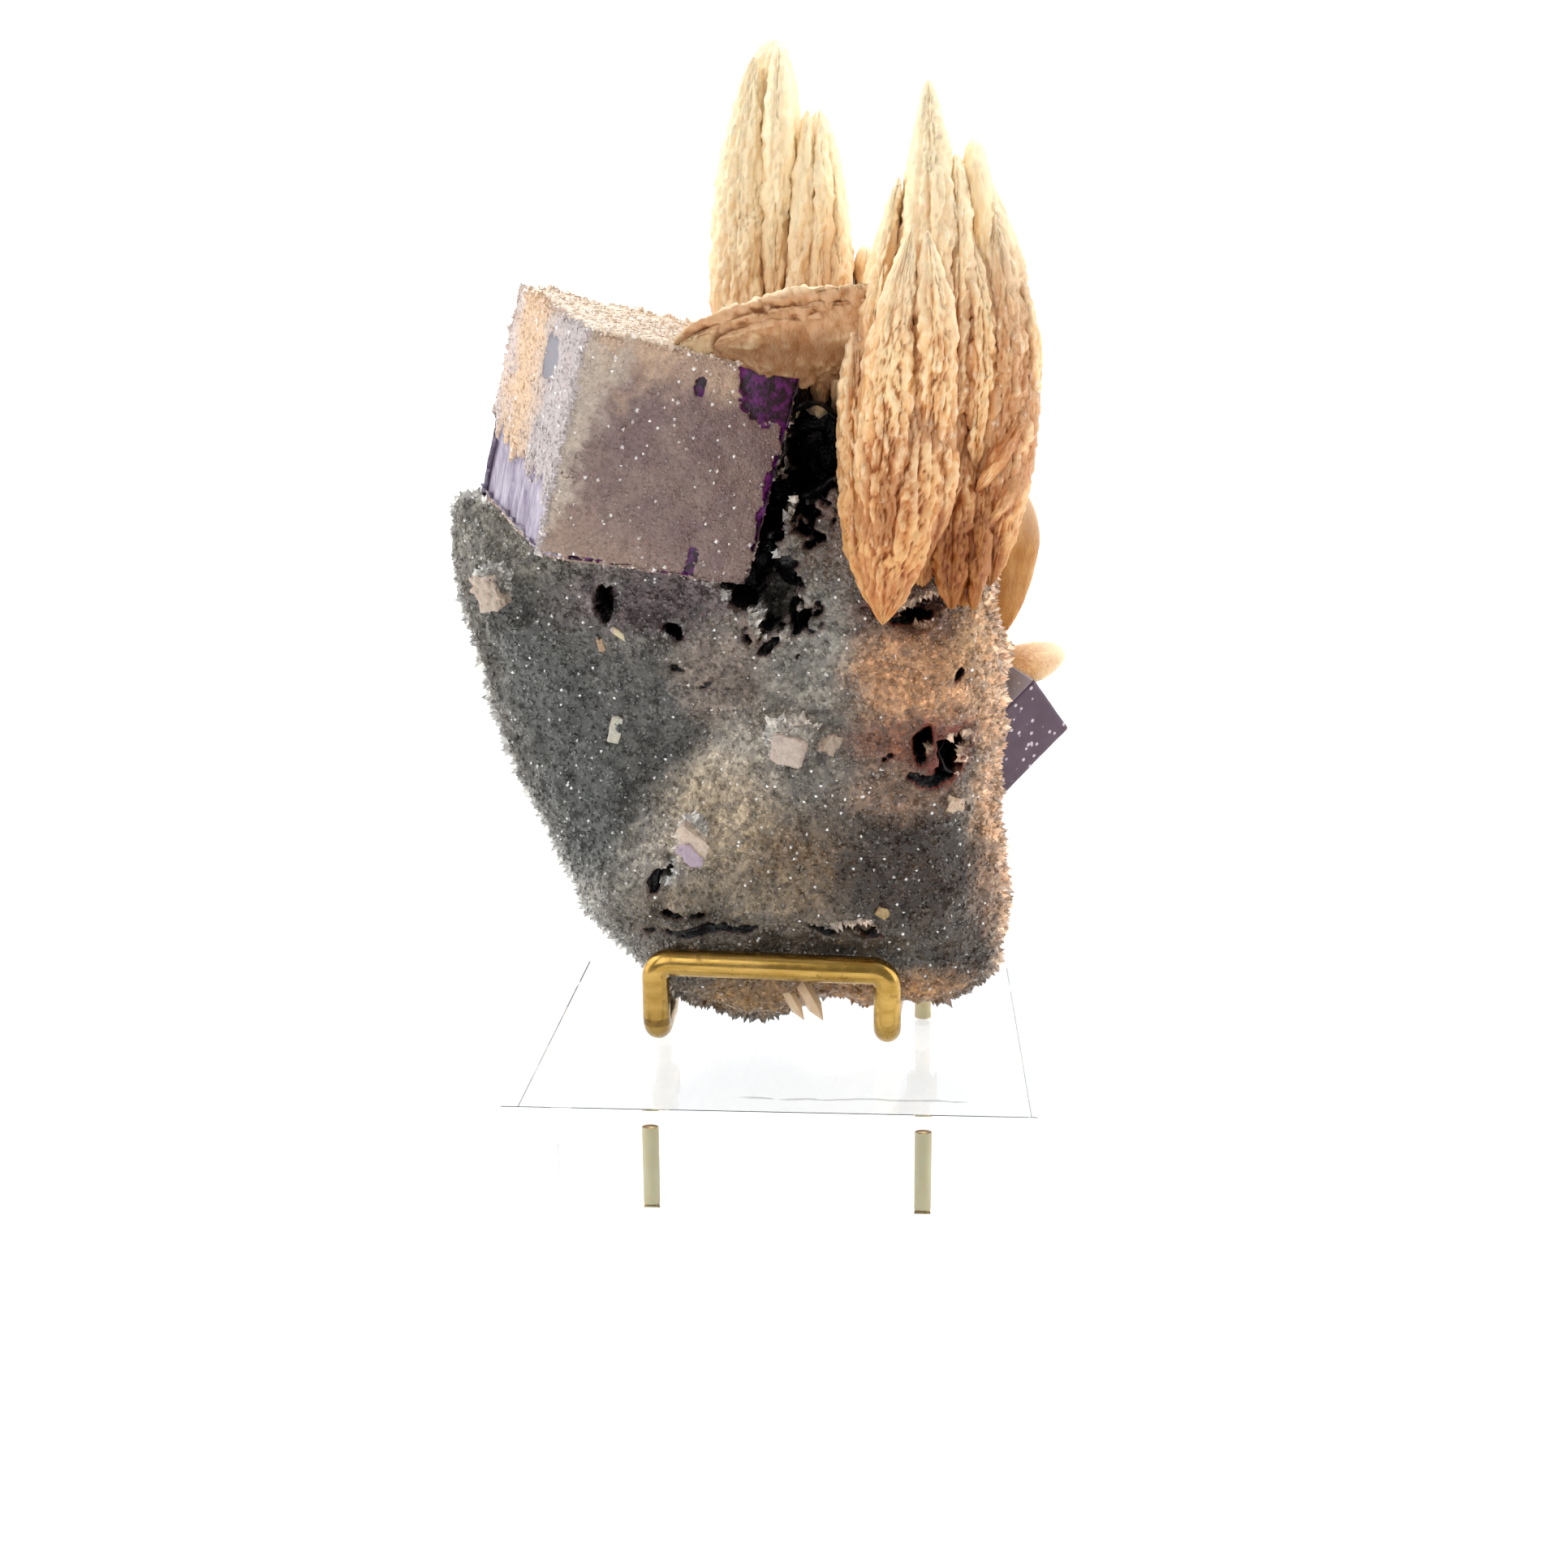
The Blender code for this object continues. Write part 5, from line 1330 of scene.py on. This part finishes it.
def make_floor():
    points = []
    steps = 14
    sweep = [(500.0, 0.0)]
    radius = 260.0
    for index in range(steps + 1):
        angle = math.pi / 2.0 * index / steps
        sweep.append((500.0 + radius * math.sin(angle), radius - radius * math.cos(angle)))
    sweep.append((500.0 + radius, 1300.0))
    outline = [(-500.0, 0.0)] + sweep
    for y, z in outline:
        points.append((-1100.0, y, z - FLOOR_DROP))
        points.append((1100.0, y, z - FLOOR_DROP))
    faces = [(2 * k, 2 * k + 1, 2 * k + 3, 2 * k + 2) for k in range(len(outline) - 1)]
    floor = make_mesh("floor", np.array(points, float), np.array(faces))
    shade(floor, True)
    paint = Paint("pale_floor")
    paint.shader.inputs["Base Color"].default_value = (0.5, 0.5, 0.5, 1.0)
    paint.set(Roughness=0.9, Specular_IOR_Level=0.1, Emission_Strength=0.8)
    paint.shader.inputs["Emission Color"].default_value = (1.0, 1.0, 1.0, 1.0)
    floor.data.materials.append(paint.material)


def make_light(name, place, target, size, power, colour=(1.0, 1.0, 1.0)):
    light = bpy.data.lights.new(name, "AREA")
    light.shape = "RECTANGLE"
    light.size, light.size_y = size
    light.energy = power
    light.color = colour
    item = bpy.data.objects.new(name, light)
    item.location = Vector(place)
    item.rotation_euler = (Vector(target) - Vector(place)).to_track_quat("-Z", "Y").to_euler()
    bpy.context.scene.collection.objects.link(item)


def make_world(front, behind):
    """A white tent that is darker on the viewer's side."""
    world = bpy.data.worlds.new("studio")
    world.use_nodes = True
    tree = world.node_tree
    back = tree.nodes["Background"]
    coords = tree.nodes.new("ShaderNodeTexCoord")
    parts = tree.nodes.new("ShaderNodeSeparateXYZ")
    tree.links.new(coords.outputs["Generated"], parts.inputs[0])
    grade = tree.nodes.new("ShaderNodeMapRange")
    grade.interpolation_type = "SMOOTHSTEP"
    tree.links.new(parts.outputs["Y"], grade.inputs["Value"])
    grade.inputs["From Min"].default_value = -0.75
    grade.inputs["From Max"].default_value = 0.15
    grade.inputs["To Min"].default_value = front
    grade.inputs["To Max"].default_value = behind
    tree.links.new(grade.outputs["Result"], back.inputs["Strength"])
    back.inputs["Color"].default_value = (1.0, 1.0, 1.0, 1.0)
    bpy.context.scene.world = world


CAMERA_PLACE = Vector((0.01775, -0.24773, 0.11571))
CAMERA_YAW = math.radians(-3.912)
CAMERA_TILT = math.radians(13.858)
CAMERA_ROLL = math.radians(-0.469)
SENSOR = 36.0
LENS = 39.13


def make_camera():
    forward = Vector((math.sin(CAMERA_YAW) * math.cos(CAMERA_TILT),
                      math.cos(CAMERA_YAW) * math.cos(CAMERA_TILT), -math.sin(CAMERA_TILT)))
    right = Vector((math.cos(CAMERA_YAW), -math.sin(CAMERA_YAW), 0.0))
    up = right.cross(forward)
    turned_right = right * math.cos(CAMERA_ROLL) + up * math.sin(CAMERA_ROLL)
    turned_up = up * math.cos(CAMERA_ROLL) - right * math.sin(CAMERA_ROLL)
    axes = Matrix((turned_right, turned_up, -forward)).transposed()
    data = bpy.data.cameras.new("camera")
    data.sensor_width = SENSOR
    data.lens = LENS
    data.clip_start = 0.01
    camera = bpy.data.objects.new("camera", data)
    camera.matrix_world = Matrix.Translation(CAMERA_PLACE) @ axes.to_4x4()
    bpy.context.scene.collection.objects.link(camera)
    bpy.context.scene.camera = camera


def add_matrix():
    body = make_matrix_body()
    druse = make_druse(body)
    lumps = make_lumps("pale_lumps", body, PALE_LUMPS)
    lilac = make_lumps("lilac_face", body, [LILAC_FACE])
    prisms, prism_paint = make_prisms()
    finish_piece(body, quartz_material("matrix_crust", True), ["quartz_matrix"])
    points_material = quartz_material("quartz_points", False)
    for item in druse:
        finish_piece(item, points_material, [])
    finish_piece(lumps, lump_material("pale_lumps", PALE_LUMPS, 0.8), [])
    finish_piece(lilac, lump_material("lilac_face", [LILAC_FACE], 0.2), [])
    finish_piece(prisms, prism_paint, [])


def add_baryte():
    clusters = baryte_material("baryte_bark", tint(255, 222, 170), tint(236, 178, 112), tint(178, 98, 36),
                               110.0, 148.0)
    back_paint = baryte_material("baryte_back", tint(255, 230, 186), tint(244, 198, 146), tint(200, 124, 60),
                                 114.0, 144.0, 0.1, 0.2)
    front = make_blades("baryte_right_front", FRONT_BLADES, 1.0, REAR_BLADES)
    rear = make_blades("baryte_right_rear", REAR_BLADES, 1.0, FRONT_BLADES)
    back = make_blades("baryte_back", BACK_BLADES, 0.8)
    finish_piece(front, clusters, ["baryte_cluster_right"])
    finish_piece(rear, clusters, [])
    finish_piece(back, back_paint, ["baryte_cluster_back"])
    tip_paint = baryte_material("baryte_tip", tint(248, 216, 162), tint(236, 190, 126),
                                tint(206, 146, 84), 124.0, 146.0, 0.2, 0.0)
    finish_piece(make_blades("baryte_tip", TIP_BLADE, 0.5), tip_paint, [])
    flat_paint = baryte_material("baryte_flat", tint(255, 224, 178), tint(222, 180, 130),
                                 tint(130, 88, 50), 150.0, 190.0, 0.1, 0.0, 0.0, (121.0, 117.0))
    finish_piece(make_blades("baryte_flat", FLAT_BLADE, 1.7), flat_paint, [])
    honey_paint = baryte_material("baryte_honey", tint(204, 150, 78), tint(184, 124, 52),
                                  tint(160, 100, 36), 92.0, 114.0, 0.2, 0.0, 0.0)
    finish_piece(make_blades("baryte_honey", HONEY_BLADE, 0.12), honey_paint, ["baryte_blade_honey"])
    small_paint = baryte_material("baryte_small", tint(244, 198, 134), tint(224, 164, 96),
                                  tint(200, 134, 70), 70.0, 84.0, 0.2, 0.0)
    finish_piece(make_blades("baryte_small", SMALL_BLADE, 0.2), small_paint, ["baryte_blade_small"])


def add_cubes():
    cube = make_large_cube()
    cube_druse = make_cube_druse(cube)
    finish_piece(cube, cube_material(), ["fluorite_cube_large"])
    finish_piece(cube_druse, cube_druse_material(), [])
    finish_piece(make_side_cube(), side_cube_material(), ["fluorite_cube_small"])


def add_stand():
    rest, cradle = make_stand()
    brass = brass_material()
    finish_piece(rest, brass, ["brass_back_rest"])
    finish_piece(cradle, brass, ["brass_cradle"])
    frost, frost_paint = make_bore_frost()
    finish_piece(frost, frost_paint, [])
    finish_piece(make_block(), acrylic_material(), ["acrylic_base"])


def main():
    bpy.context.scene.view_settings.view_transform = "Standard"
    make_camera()
    make_floor()
    make_world(0.4, 0.75)
    make_light("top_back", (0.05, 0.30, 0.62), (0.0, 0.0, 0.10), (0.5, 0.35), 3.2)
    make_light("left_side", (-0.55, 0.05, 0.30), (0.0, 0.0, 0.09), (0.5, 0.6), 1.9)
    make_light("right_side", (0.55, 0.05, 0.30), (0.0, 0.0, 0.09), (0.5, 0.6), 1.7)
    make_light("front_soft", (-0.30, -0.55, 0.50), (0.0, 0.0, 0.09), (0.5, 0.5), 1.9)
    add_matrix()
    add_baryte()
    add_cubes()
    add_stand()


main()
